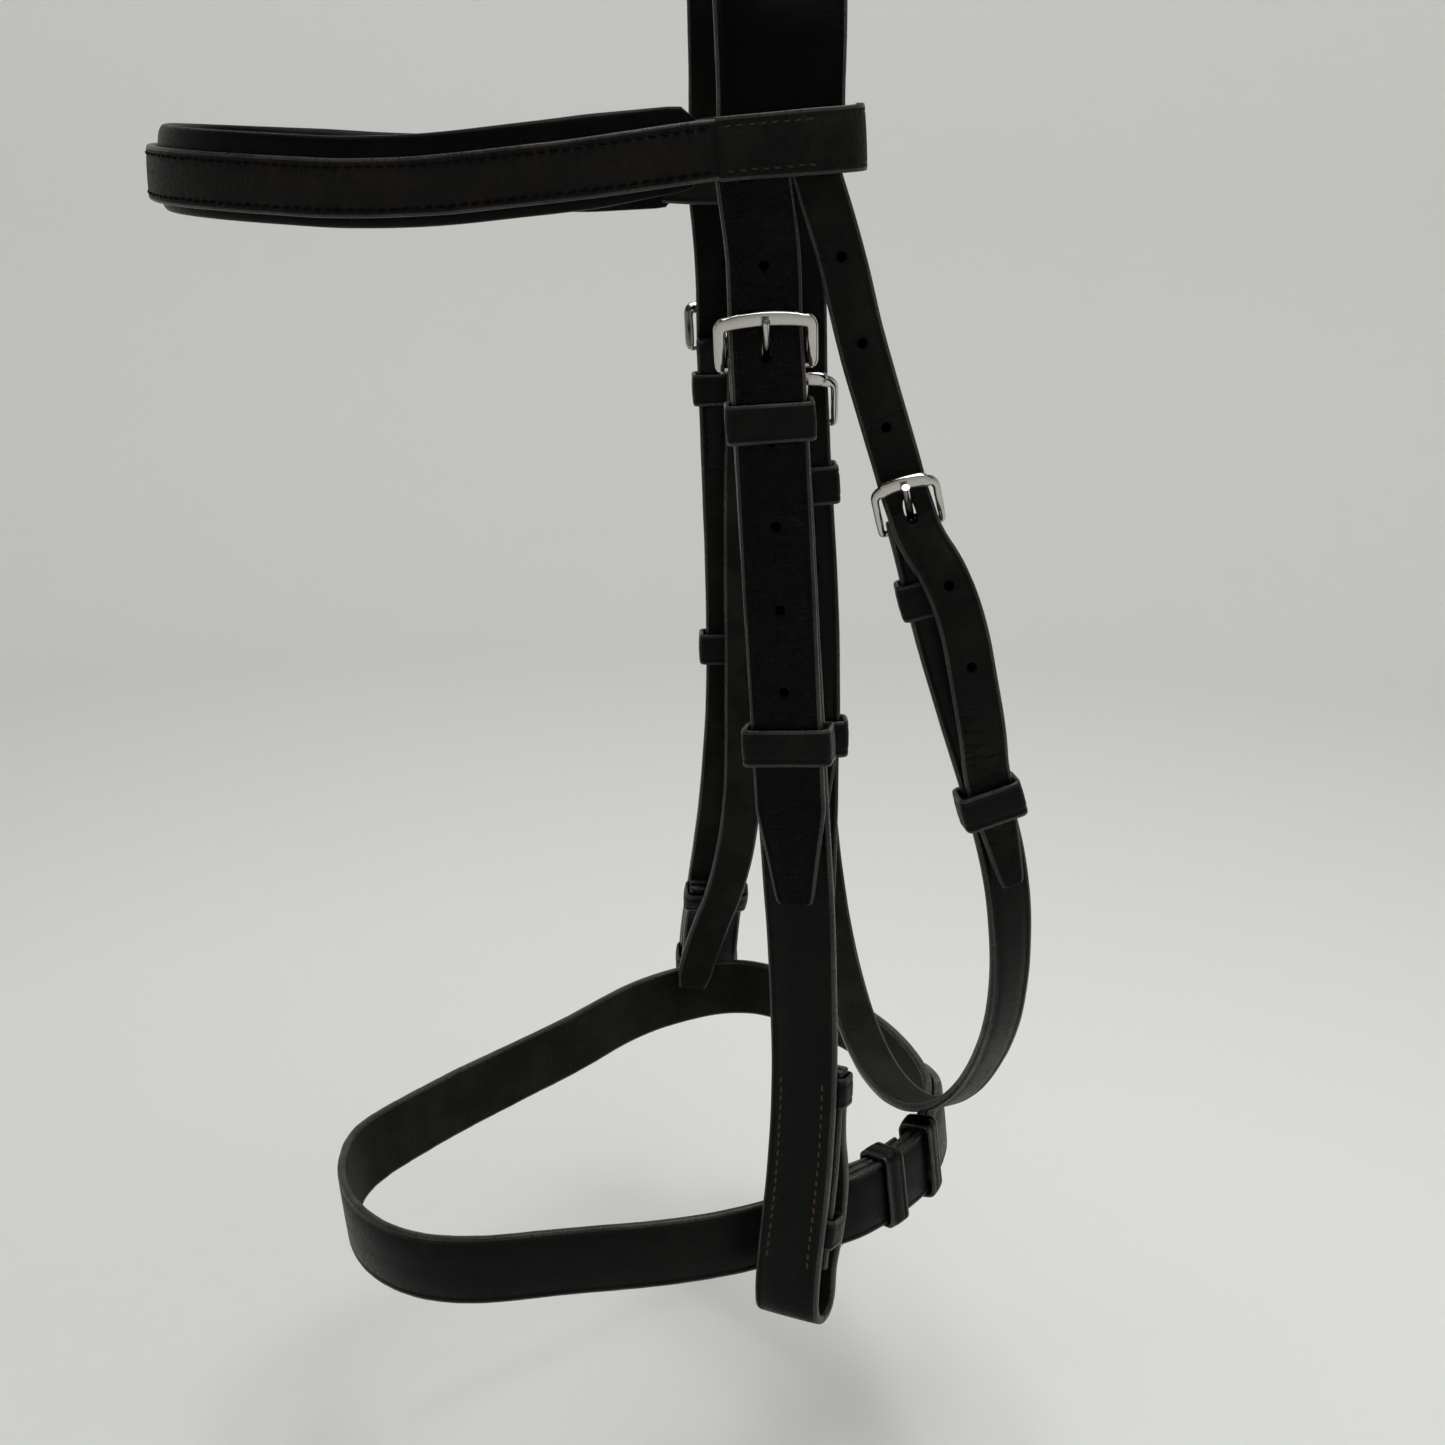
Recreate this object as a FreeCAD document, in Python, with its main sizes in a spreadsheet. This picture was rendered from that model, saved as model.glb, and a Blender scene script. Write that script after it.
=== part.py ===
"""English bridle without its bit, as an assembly of separate straps, keepers, buckles and studs.

Millimetres.  +Z is up and the origin is the underside of the headstrap over the poll, so the
bridle hangs below it.  The brow and nose face -Y, and the horse's left (near) side is +X.
Every strap follows a line of hand-set points.  A station is a distance along its line, and an
offset is a distance from the line towards the outside of the bridle.
"""
import FreeCAD, Part
import math
import os

os.makedirs("parts", exist_ok=True)
doc = FreeCAD.newDocument("bridle")
Vector = FreeCAD.Vector

# ---------------------------------------------------------------- driving dimensions
DIMENSIONS = {
    "ply": 2.6,             # leather of a strap
    "skived": 1.6,          # leather thinned where it turns round a buckle bar
    "ply_gap": 0.35,        # room between two plies that lie together
    "cheek_width": 19.05,   # three-quarter inch cheek straps and billets
    "light_width": 12.7,    # half inch throatlash and headstrap
    "nose_width": 19.6,
    "nose_swell": 3.6,      # the noseband is wider over the nose
    "crown_width": 31.2,    # headpiece at the browband
    "poll_width": 38.0,     # headpiece over the poll
    "brow_width": 14.6,
    "pad_height": 22.6,     # browband padding
    "pad_depth": 6.0,
    "hole_radius": 1.7,     # punched adjustment hole
    "hole_pitch": 21.6,
    "bar_half": 0.7,        # half the height of the buckle bar
    "bar_radius": 1.25,     # room the bar takes up inside the turned strap
    "eye_radius": 1.75,     # hole in the tongue's eye
    "eye_wall": 0.9,
    "rail_rise": 13.5,      # buckle bar to the middle of the top rail
    "rail_depth": 4.2,
    "frame_ply": 2.2,
    "side_share": 0.15,     # width of a buckle's side rail, as a share of its strap
    "side_room": 0.6,       # strap edge to the buckle's side rail
    "tongue_radius": 1.0,
    "keeper_height": 10.0,
    "chin_keeper_height": 7.5,
    "keeper_ply": 1.4,
    "keeper_room": 0.4,
    "runner_room": 0.8,     # a loose keeper slides, so it has more room
    "ring_room": 3.9,       # radius of the room for a bit ring
    "stud_base": 3.6,
    "stud_neck": 1.5,
}
sheet = doc.addObject("Spreadsheet::Sheet", "dims")
for row, (alias, value) in enumerate(DIMENSIONS.items(), start=1):
    sheet.set("A%d" % row, alias)
    sheet.set("B%d" % row, str(value))
    sheet.setAlias("B%d" % row, alias)
doc.recompute()


def dim(alias):
    return float(getattr(sheet, alias))


PLY = dim("ply")
SKIVED = dim("skived")
CHEEK = dim("cheek_width")
LIGHT = dim("light_width")
OVER = PLY + dim("ply_gap")     # offset of a billet that lies on its strap
made = []


# ---------------------------------------------------------------- lines that the straps follow
class Line:
    """A smooth line through points, with the strap's width direction at each of them."""

    def __init__(self, points, ways, outward):
        self.outward = outward
        self.places = []
        self.ways = []
        steps = 10
        last = len(points) - 1
        for k in range(last):
            four = [points[max(k - 1, 0)], points[k], points[k + 1], points[min(k + 2, last)]]
            for j in range(steps + (k == last - 1)):
                f = j / steps
                self.places.append(catmull(four, f))
                self.ways.append(ways[k] * (1 - f) + ways[k + 1] * f)
        self.stations = [0.0]
        for a, b in zip(self.places, self.places[1:]):
            self.stations.append(self.stations[-1] + (b - a).Length)
        self.length = self.stations[-1]

    def at(self, station):
        """The place, and the directions along, across and outward, at a station."""
        last = len(self.places) - 2
        k = max(0, min(last, sum(s <= station for s in self.stations) - 1))
        span = self.stations[k + 1] - self.stations[k]
        f = (station - self.stations[k]) / span
        place = self.places[k] * (1 - f) + self.places[k + 1] * f
        ahead = self.places[min(k + 2, last + 1)] - self.places[k]
        behind = self.places[k + 1] - self.places[max(k - 1, 0)]
        g = max(0.0, min(1.0, f))
        along = (behind * (1 - g) + ahead * g).normalize()
        way = self.ways[k] * (1 - g) + self.ways[k + 1] * g
        out = along.cross(way).normalize() * self.outward
        across = (out.cross(along) * self.outward).normalize()
        return place, along, across, out


def catmull(four, f):
    """Catmull-Rom curve between the second and third of four points."""
    a, b, c, d = four
    return (b * 2 + (c - a) * f + (a * 2 - b * 5 + c * 4 - d) * (f * f)
            + (b * 3 - a - c * 3 + d) * (f ** 3)) * 0.5


def hanging(points, outward):
    """A line for a strap that hangs: each point is x, y, z and the strap's turn about +Z."""
    places = [Vector(x, y, z) for x, y, z, turn in points]
    ways = [Vector(math.sin(math.radians(turn)), math.cos(math.radians(turn)), 0)
            for x, y, z, turn in points]
    return Line(places, ways, outward)


# The near cheek turns its face to the front towards the bit end.
NEAR_CHEEK = hanging([
    (81, -6.3, -87, 0), (81, -4, -104, 0), (81, -3.2, -125, 0), (81, -1.9, -146, 2),
    (81, 0.3, -180, 8), (81, 2.6, -215, 13), (81, 5, -252, 18), (81, 7.1, -285, 25),
    (81, 8.1, -320, 30), (81, 6.9, -350, 31), (81, 4.3, -378, 31), (81, 3.8, -396, 31)], 1)
# The far cheek bows outward round the noseband, which it rests on.
FAR_CHEEK = hanging([
    (-81, -6.3, -101, 0), (-81, -4.8, -119, 0), (-81, -4, -146, 0), (-81, -2.4, -190, 0),
    (-81, -1.2, -230, 0), (-82, -1.4, -262, 0), (-87, -2.8, -288, 0), (-97, -4.4, -310, 0),
    (-109.5, -6, -329, 0), (-122.5, -7.3, -345, 0), (-134.5, -8.2, -360, 0),
    (-145, -8.6, -374, 0), (-156, -8.6, -388, 0)], -1)
NEAR_CAVESSON = hanging([
    (76.6, 5.4, -84, 0), (72, 6.2, -104, 0), (68, 6.9, -124, 0), (66.2, 7.8, -148, 0),
    (65.8, 9.6, -176, 1), (66.6, 11.1, -205, 2), (67.8, 11.3, -240, 2), (67.6, 10.8, -275, 0),
    (64.6, 9.8, -310, -4), (59.4, 8.8, -338, -12), (55, 8.2, -354, -20), (52.6, 8, -368, -24),
    (52.2, 8, -383, -24)], 1)
FAR_CAVESSON = hanging([
    (-77.2, 4, -84, 0), (-77.2, 3.7, -102, 0), (-74.2, 3, -119, 0), (-73.4, 2, -150, 0),
    (-73.5, 1, -190, 0), (-74, 1.2, -232, 0), (-75.5, 1.4, -270, 0), (-80.5, 1, -293, 0),
    (-87.5, -0.8, -313, -2), (-94.6, -4, -330, -5), (-100.2, -8.6, -345, -9),
    (-102.6, -12.2, -357, -14), (-103.2, -14.8, -368, -17), (-103, -16, -375, -17)], -1)
# The near throat billet bows out over its own keeper before it meets the strap again.
NEAR_THROAT_BILLET = hanging([
    (83.95, 9.7, -87, 0), (84.8, 15, -104, 0), (86, 20, -124, 0), (86.8, 26, -144, 0),
    (87, 30, -157, 0), (87, 31.2, -161.3, 0), (89.6, 34.4, -171, 0), (93.2, 41, -182, 0),
    (95, 45.6, -194, 0), (94, 49, -209, 0), (90.4, 52.2, -224, 0), (87, 54.2, -236, -4),
    (85.9, 57.3, -248, -9), (83.9, 62.2, -267, -18)], 1)
THROAT = hanging([
    (86.4, 33.8, -171, 0), (86, 38, -187, 0), (85.4, 43, -205, 0), (84.6, 49, -224, 0),
    (83, 56, -246, -8), (80.4, 61.4, -268, -18), (74.5, 64, -292, -30), (64.5, 64, -314, -34),
    (49, 61.6, -334, -34), (38, 57, -347, -30), (29, 51.4, -354, -24), (20, 45.6, -356.8, -16),
    (3, 41.2, -358.8, -8), (-18, 37.9, -358.7, 0), (-40, 34.5, -353.2, 4), (-57, 31.4, -341.8, 4),
    (-69.5, 28.8, -326.4, 4), (-77, 26.5, -307.2, 2), (-81, 24.7, -284.6, 0), (-82.5, 22.4, -250, 0),
    (-82.5, 20, -215, 0), (-82.5, 17.6, -184, 0)], 1)
FAR_THROAT_BILLET = hanging([
    (-83.95, 9.6, -101, 0), (-85.7, 10.8, -114, 0), (-88, 11.8, -128, 0), (-88, 12.8, -140, 0),
    (-85.5, 14.3, -153, 0), (-83, 15.6, -165, 0), (-82.8, 16.2, -170, 0), (-82.9, 16.7, -174, 0),
    (-85.6, 17.5, -184, 0),
    (-85.45, 20, -215, 0), (-85.45, 22.2, -247, 0), (-85.2, 24, -272, 0)], -1)

# The crown is half an ellipse over the poll, carried straight down to each split.
SIDE = 83.95
SHOULDER = -68.0
NEAR_SPLIT = -87.0
FAR_SPLIT = -101.0


def arch(half_width, top, near_y, far_y, near_foot, far_foot):
    """Points from the near foot, over the poll, to the far foot."""
    points = list(near_foot)
    for angle in range(0, 181, 15):
        a = math.radians(angle)
        y = near_y + (far_y - near_y) * angle / 180
        height = SHOULDER + (top - SHOULDER) * math.sin(a)
        points.append(Vector(half_width * math.cos(a), y, height))
    return points + list(far_foot)


def level_line(points, way, outward):
    return Line(points, [way] * len(points), outward)


CROWN = level_line(arch(SIDE, 4.65, 0, 0, [Vector(SIDE, 0, NEAR_SPLIT)],
                        [Vector(-SIDE, 0, -85), Vector(-SIDE, 0, FAR_SPLIT)]),
                   Vector(0, 1, 0), -1)
POLL_STRAP = level_line(arch(80.4, PLY / 2, 4.6, 4, [Vector(79.55, 5.4, -84)],
                             [Vector(-80.15, 4, -84)]), Vector(0, 1, 0), -1)

# The noseband hangs in one plane, tipped down to the front and to the near side.
NOSE_LEVEL = -375.5
NOSE_PITCH = 0.114
NOSE_ROLL = -0.048
NOSE_PLAN = [
    (29, 45), (41, 35), (50, 22.5), (56.5, 9), (61, -4), (63.2, -17), (63.4, -33),
    (61.6, -57), (59.8, -82), (53, -99.5), (39, -113), (20, -121.5), (0, -123.5),
    (-20, -118.5), (-44, -96.5), (-61, -77), (-78, -57), (-98, -36.5), (-107, -20),
    (-109.5, -4), (-104, 9), (-88, 23), (-57, 41), (-28, 51), (2, 54), (29, 45),
    (41, 35), (50, 22.5), (56.5, 9)]


def nose_point(x, y):
    return Vector(x, y, NOSE_LEVEL + NOSE_ROLL * x + NOSE_PITCH * y)


NOSE = level_line([nose_point(x, y) for x, y in NOSE_PLAN], Vector(-NOSE_ROLL, -NOSE_PITCH, 1), -1)
NOSE_FRONT = nose_point(0, -123.5)
NOSE_LOOP = 25      # NOSE_PLAN[25] is back at NOSE_PLAN[0]
NOSE_ROUND = NOSE.stations[NOSE_LOOP * 10]

# The browband runs from the near loop round the forehead to the far loop, which hangs lower.
BROW = level_line([Vector(*p) for p in [
    (87.5, 30, -74.6), (87.5, 16, -75.4), (87.5, 0, -76.6), (86.8, -18, -78.2), (84, -46, -82.2),
    (81, -63, -84.3), (75, -86, -86.9), (66, -107.5, -88), (57, -125.5, -87.7), (42, -146, -87.2),
    (24, -159, -86.9), (0, -164.2, -87), (-24, -159, -88), (-42, -146, -89.2), (-57, -125.5, -90.6),
    (-66, -107.5, -92), (-75, -86, -93), (-81, -63, -93.6), (-84, -46, -94), (-86.8, -18, -94.4),
    (-87.5, 0, -94.6), (-87.5, 16, -94.8), (-87.5, 30, -95)]], Vector(0, 0, 1), -1)
PAD_LIFT = 1.2      # the padding stands further above the strip than below it
BROW_NEAR = BROW.stations[20]
BROW_FAR = BROW.stations[200]


# ---------------------------------------------------------------- routes over a line
def run(start, stop, low, high=None, pitch=9.0):
    """Stations from start to stop, with the offset going smoothly from low to high."""
    if high is None:
        high = low
    count = max(2, round(abs(stop - start) / pitch))
    route = []
    for k in range(count + 1):
        f = k / count
        ease = f * f * (3 - 2 * f)
        route.append((start + (stop - start) * f, low + (high - low) * ease))
    return route


def fold(station, offset, radius, first, last, steps=9):
    """An arc about a bar or ring: angle 0 points along the line, 90 outward."""
    route = []
    for k in range(steps + 1):
        a = math.radians(first + (last - first) * k / steps)
        route.append((station + radius * math.cos(a), offset + radius * math.sin(a)))
    return route


def joined(*routes):
    """Routes end to end, leaving out a point that repeats the one before."""
    whole = []
    for route in routes:
        for point in route:
            near = whole and math.hypot(point[0] - whole[-1][0], point[1] - whole[-1][1]) < 0.8
            if not near:
                whole.append(point)
    return whole


# ---------------------------------------------------------------- solids
def add_solid(label, shape):
    piece = doc.addObject("Part::Feature", label)
    piece.Label = label
    piece.Shape = shape
    piece.Placement = FreeCAD.Placement()
    made.append(piece)
    return piece


def section(centre, across, depth_way, width, depth):
    a = across * (width / 2)
    b = depth_way * (depth / 2)
    corners = [centre - a - b, centre + a - b, centre + a + b, centre - a + b]
    return Part.makePolygon(corners + corners[:1])


def leather(centres, ways, width, depth, first_way=None):
    """Leather through its middle points; width and depth may be functions of the length done."""
    done = [0.0]
    for a, b in zip(centres, centres[1:]):
        done.append(done[-1] + (b - a).Length)
    wires = []
    last = len(centres) - 1
    for k, centre in enumerate(centres):
        along = centres[min(k + 1, last)] - centres[max(k - 1, 0)]
        if first_way and k == 0:
            along = first_way
        across = (ways[k] - along * (ways[k].dot(along) / along.dot(along))).normalize()
        depth_way = along.cross(across).normalize()
        wide = width(done[k], done[-1]) if callable(width) else width[k]
        deep = depth(done[k], done[-1]) if callable(depth) else depth
        wires.append(section(centre, across, depth_way, wide, deep))
    return Part.makeLoft(wires, True, True)


def middles(line, route):
    """Middle points of a route over a line."""
    points = []
    for station, offset in route:
        place, along, across, out = line.at(station)
        points.append(place + out * offset)
    return points


def strap(line, route, width, depth=PLY, square_start=False):
    """A strap of leather that follows a route; width and depth may vary along it."""
    ways = [line.at(station)[2] for station, offset in route]
    widths = width if callable(width) else [width] * len(route)
    first_way = line.at(route[0][0])[1] if square_start else None
    return leather(middles(line, route), ways, widths, depth, first_way)


def pointed(width, taper=26.0, tip=0.55):
    """Full width, then the English point of a billet."""
    def at(done, whole):
        left = whole - done
        return width * (tip + (1 - tip) * min(1.0, left / taper))
    return at


def skived_start(length):
    """Thin leather up to a length from the start, then the full ply."""
    def at(done, whole):
        return SKIVED + (PLY - SKIVED) * max(0.0, min(1.0, (done - length) / 8))
    return at


def frame_placement(line, station, offset, lean=0.0, swap=False):
    """Local X across the strap, Y back along it, Z outward, leaned about X by lean degrees."""
    place, along, across, out = line.at(station)
    y_way = along if swap else along * -1
    x_way = y_way.cross(out)
    matrix = FreeCAD.Matrix(x_way.x, y_way.x, out.x, 0, x_way.y, y_way.y, out.y, 0,
                            x_way.z, y_way.z, out.z, 0, 0, 0, 0, 1)
    placement = FreeCAD.Placement(matrix)
    placement.Base = place + out * offset
    return placement * FreeCAD.Placement(Vector(), FreeCAD.Rotation(Vector(1, 0, 0), lean))


def slot_tool(placement, wide, low, high, bottom, top):
    """A box through a strap: x width, y from low to high, z from bottom to top."""
    tool = Part.makeBox(wide, high - low, top - bottom, Vector(-wide / 2, low, bottom))
    tool.Placement = placement
    return tool


def punched(shape, line, stations, offset):
    """Round adjustment holes through a billet."""
    for station in stations:
        place, along, across, out = line.at(station)
        centre = place + out * offset
        tool = Part.makeCylinder(dim("hole_radius"), 8, centre - out * 4, out)
        shape = shape.cut(tool)
    return shape


def origin_plane(body, role):
    for feature in body.Origin.OriginFeatures:
        if feature.Role == role:
            return feature
    raise ValueError(role)


def new_sketch(body, name, role, lines):
    """A sketch of straight lines on one of the body's own planes."""
    sketch = body.newObject("Sketcher::SketchObject", name)
    sketch.AttachmentSupport = (origin_plane(body, role), [""])
    sketch.MapMode = "FlatFace"
    for loop in lines:
        for a, b in zip(loop, loop[1:] + loop[:1]):
            sketch.addGeometry(Part.LineSegment(Vector(a[0], a[1], 0), Vector(b[0], b[1], 0)))
    return sketch


def rectangle(x, low, high):
    return [(-x, low), (x, low), (x, high), (-x, high)]


def buckle(label, width_alias, placement):
    """A cavesson-style frame: round bar, slim sides and a deep, arched top rail."""
    body = doc.addObject("PartDesign::Body", label)
    body.Label = label
    inner = dim(width_alias) / 2 + dim("side_room")
    outer = inner + dim("side_share") * dim(width_alias)
    rise = dim("rail_rise")
    half_rail = dim("rail_depth") / 2
    bar = dim("bar_half")
    outline = [(-outer + 0.8, -bar), (outer - 0.8, -bar), (outer, 0), (outer, rise - 0.6),
               (outer - 1.6, rise + half_rail - 0.9), (outer * 0.45, rise + half_rail),
               (-outer * 0.45, rise + half_rail), (-outer + 1.6, rise + half_rail - 0.9),
               (-outer, rise - 0.6), (-outer, 0)]
    profile = new_sketch(body, label + "_profile", "XY_Plane", [outline])
    pad = body.newObject("PartDesign::Pad", label + "_plate")
    pad.Profile = profile
    pad.Midplane = True
    pad.setExpression("Length", "<<dims>>.frame_ply")
    window = new_sketch(body, label + "_window", "XY_Plane",
                        [rectangle(inner, bar, rise - half_rail)])
    pocket = body.newObject("PartDesign::Pocket", label + "_opening")
    pocket.Profile = window
    pocket.Midplane = True
    pocket.Type = "ThroughAll"
    body.Placement = placement
    made.append(body)


def tongue(label, placement, angle):
    """A tongue: an eye round the bar and a straight round shaft that rests on the rail."""
    sideways = FreeCAD.Rotation(Vector(0, 1, 0), 90)
    lift = FreeCAD.Rotation(Vector(1, 0, 0), -90 + angle)
    eye = doc.addObject("Part::Cylinder", label + "_eye")
    eye.setExpression("Radius", "<<dims>>.eye_radius + <<dims>>.eye_wall")
    eye.Height = 3.0
    eye.Placement = FreeCAD.Placement(Vector(-1.5, 0, 0), sideways)
    shaft = doc.addObject("Part::Cylinder", label + "_shaft")
    shaft.setExpression("Radius", "<<dims>>.tongue_radius")
    shaft.setExpression("Height", "<<dims>>.rail_rise + 2.4")
    shaft.Placement = FreeCAD.Placement(Vector(), lift)
    solid = doc.addObject("Part::MultiFuse", label + "_blank")
    solid.Shapes = [eye, shaft]
    hole = doc.addObject("Part::Cylinder", label + "_bore")
    hole.setExpression("Radius", "<<dims>>.eye_radius")
    hole.Height = 5.0
    hole.Placement = FreeCAD.Placement(Vector(-2.5, 0, 0), sideways)
    piece = doc.addObject("Part::Cut", label)
    piece.Label = label
    piece.Base = solid
    piece.Tool = hole
    piece.Placement = placement
    made.append(piece)


def band(label, outside, inside, height, placement):
    """A closed band of leather round a strap; height is its length along the strap."""
    body = doc.addObject("PartDesign::Body", label)
    body.Label = label
    profile = new_sketch(body, label + "_band", "XY_Plane", [outside, inside])
    pad = body.newObject("PartDesign::Pad", label + "_height")
    pad.Profile = profile
    pad.Midplane = True
    pad.setExpression("Length", height)
    turn = FreeCAD.Placement(Vector(), FreeCAD.Rotation(Vector(1, 0, 0), 90))
    body.Placement = placement * turn
    made.append(body)


def keeper(label, width_alias, low, high, room_alias, placement, height="keeper_height"):
    """A band of thin leather round the plies between the offsets low and high."""
    room = dim(room_alias)
    half = dim(width_alias) / 2 + room
    ply = dim("keeper_ply")
    inside = [(-half, low - room), (half, low - room), (half, high + room), (-half, high + room)]
    bevel = 0.8
    x = half + ply
    bottom = low - room - ply
    top = high + room + ply
    outside = [(-x + bevel, bottom), (x - bevel, bottom), (x, bottom + bevel), (x, top - bevel),
               (x - bevel, top), (-x + bevel, top), (-x, top - bevel), (-x, bottom + bevel)]
    band(label, outside, inside, "<<dims>>." + height, placement)


# ---------------------------------------------------------------- buckled joints
WRAP = dim("bar_radius") + 0.2 + SKIVED / 2      # bar centre to the middle of the turned ply
BAR_OFFSET = PLY / 2 - SKIVED / 2 - WRAP         # bar centre, so that the turned ply is flush
RAIL_OFFSET = 4.05                               # rail centre, over the billet
LEAN = math.degrees(math.asin((RAIL_OFFSET - BAR_OFFSET) / dim("rail_rise")))
TONGUE_LIFT = math.degrees(math.asin((dim("frame_ply") / 2 + dim("tongue_radius") + 0.4)
                                     / (dim("rail_rise") - dim("rail_depth") / 2)))
DIP = 0.3                                        # a billet dips to pass under the rail
TURN_BACK = -(SKIVED + PLY) / 2 - 0.3            # the sewn end of a strap, inside it


def buckled_end(bar_at, sewn, heading=1):
    """The end of a strap sewn round a buckle bar, from the sewn tip, round the bar, to its face."""
    clear = 9.0 * heading
    inner = run(bar_at + sewn * heading, bar_at + clear, TURN_BACK, TURN_BACK)
    closing = run(bar_at + clear, bar_at + 0.5 * heading, TURN_BACK, BAR_OFFSET - WRAP, 4.0)
    if heading > 0:
        arc = fold(bar_at, BAR_OFFSET, WRAP, 270, 90)
    else:
        arc = fold(bar_at, BAR_OFFSET, WRAP, -90, 90)
    return joined(inner, closing, arc)


def buckle_set(name, width_alias, line, bar_at, swap=False):
    """A buckle at a strap's turned end, with its tongue resting on the rail."""
    placement = frame_placement(line, bar_at, BAR_OFFSET, LEAN, swap)
    buckle(name + "_buckle", width_alias, placement)
    tongue(name + "_tongue", placement, TONGUE_LIFT)
    return placement


def tongue_slots(shape, placement, lower=True):
    """The slot that lets the tongue through a turned strap, or through a billet's hole."""
    if lower:
        return shape.cut(slot_tool(placement, 4.0, -4.2, 3.6, -4.2, 4.2))
    return shape.cut(slot_tool(placement, 3.4, 2.4, 11.6, -1.0, 7.0))


def billet_route(start, bar_at, tip):
    """A billet: under the rail, over the bar, then flat on its strap to the tip."""
    rail = bar_at - dim("rail_rise")
    return joined(run(start, rail - 6, OVER, DIP),
                  run(rail - 6, rail + 1, DIP, DIP, 4.0),
                  run(rail + 1, bar_at - 1, DIP, OVER, 4.0),
                  run(bar_at - 1, tip, OVER))


def cheekpiece(side, line, bar_at):
    """Cheek strap with its buckle, keepers, backing and hook stud, for one side."""
    bottom = bar_at + 263
    ring = 5.0                                  # middle of the leather round the bit ring
    back = -4.45                                # backing, inside the strap and the keepers' ply
    down = run(bar_at + 4, bottom - ring, 0.0, pitch=12.0)
    loop = fold(bottom - ring, -ring, ring, 90, -75, 10)
    up = [(bottom - 14, -10.9), (bottom - 22, -12.6), (bottom - 31, -13.2), (bottom - 39, -12.3),
          (bottom - 46, -10.3), (bottom - 53, -8.1), (bottom - 59, -7.1), (bottom - 66, -7.1),
          (bottom - 74, -7.1)]
    route = joined(buckled_end(bar_at, 38), down, loop, up)
    body = strap(line, route, CHEEK, skived_start(44))
    loop_place = frame_placement(line, bottom - ring, -ring)
    loop_way = loop_place.Rotation.multVec(Vector(1, 0, 0))
    body = body.cut(Part.makeCylinder(dim("ring_room"), 2 * CHEEK,
                                      loop_place.Base - loop_way * CHEEK, loop_way))
    placement = buckle_set(side + "_cheek", "cheek_width", line, bar_at)
    body = tongue_slots(body, placement)
    stud_at = bottom - 51
    stud_place = frame_placement(line, stud_at, back)
    body = body.cut(slot_tool(stud_place, 4.4, -4.2, 3.2, -12.0, -1.4))
    add_solid(side + "_cheek_strap", body)
    backing = strap(line, run(bottom - 74, bottom - 16, back, pitch=10.0), CHEEK, 2.0)
    add_solid(side + "_bit_backing", backing)
    keeper(side + "_cheek_keeper", "cheek_width", TURN_BACK - SKIVED / 2, OVER + PLY / 2,
           "keeper_room", frame_placement(line, bar_at + 13, 0))
    keeper(side + "_cheek_runner", "cheek_width", -PLY / 2, OVER + PLY / 2,
           "runner_room", frame_placement(line, bar_at + 97, 0))
    bit_keeper(side + "_bit_keeper_upper", line, bottom - 68, back + 1, -7.1 - PLY / 2)
    bit_keeper(side + "_bit_keeper_lower", line, bottom - 27, back + 1, -8.9)
    hook_stud(side + "_hook_stud", stud_place)


def bit_keeper(label, line, station, high, low):
    """A narrow keeper round the backing, with its outer ply between the strap and the backing."""
    room = 0.2
    half = CHEEK / 2 + room
    ply = 1.1
    x = half + ply
    top = high + room
    bottom = low - room
    inside = [(-half, bottom), (half, bottom), (half, top), (-half, top)]
    outside = [(-x, bottom - ply + 0.5), (-x + 0.5, bottom - ply), (x - 0.5, bottom - ply),
               (x, bottom - ply + 0.5), (x, top + ply), (-x, top + ply)]
    band(label, outside, inside, "<<dims>>.keeper_height - 1", frame_placement(line, station, 0))


def hook_stud(label, placement):
    """A stud on the backing: a round base, a neck, and a hook that turns up towards the crown."""
    inward = FreeCAD.Rotation(Vector(1, 0, 0), 180)
    base = doc.addObject("Part::Cylinder", label + "_base")
    base.setExpression("Radius", "<<dims>>.stud_base")
    base.Height = 0.8
    base.Placement = FreeCAD.Placement(Vector(0, 0, -1.2), inward)
    neck = doc.addObject("Part::Cylinder", label + "_neck")
    neck.setExpression("Radius", "<<dims>>.stud_neck")
    neck.Height = 6.4
    neck.Placement = FreeCAD.Placement(Vector(0, 0, -1.4), inward)
    bend = doc.addObject("Part::Sphere", label + "_bend")
    bend.setExpression("Radius", "<<dims>>.stud_neck")
    bend.Placement.Base = Vector(0, 0, -7.8)
    hook = doc.addObject("Part::Cone", label + "_hook")
    hook.setExpression("Radius1", "<<dims>>.stud_neck")
    hook.Radius2 = 1.0
    hook.Height = 6.0
    hook.Placement = FreeCAD.Placement(Vector(0, 0, -7.8), FreeCAD.Rotation(Vector(1, 0, 0), -90))
    whole = doc.addObject("Part::MultiFuse", label)
    whole.Label = label
    whole.Shapes = [base, neck, bend, hook]
    whole.Placement = placement
    made.append(whole)


# ---------------------------------------------------------------- the bridle
CHEEK_BAR = 44.5        # split of the headpiece to the cheek buckle's bar
CHEEK_TIP = 185.0       # split to the tip of the cheek billet
FIRST_HOLE = 19.0       # split to the first adjustment hole of a cheek billet
THROAT_HOLE = 17.5      # split to the first adjustment hole of a throat billet


def hole_stations(first, count, buckled):
    """Stations of a row of holes, leaving out the one that the tongue uses."""
    return [first + dim("hole_pitch") * k for k in range(count) if k != buckled]


def crown_width(done, total):
    """The crown is widest over the poll."""
    widest = dim("poll_width") - dim("crown_width")
    middle = math.sin(math.pi * min(1.0, max(0.0, (done - 15) / (total - 44))))
    return dim("crown_width") + widest * middle ** 1.3


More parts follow.
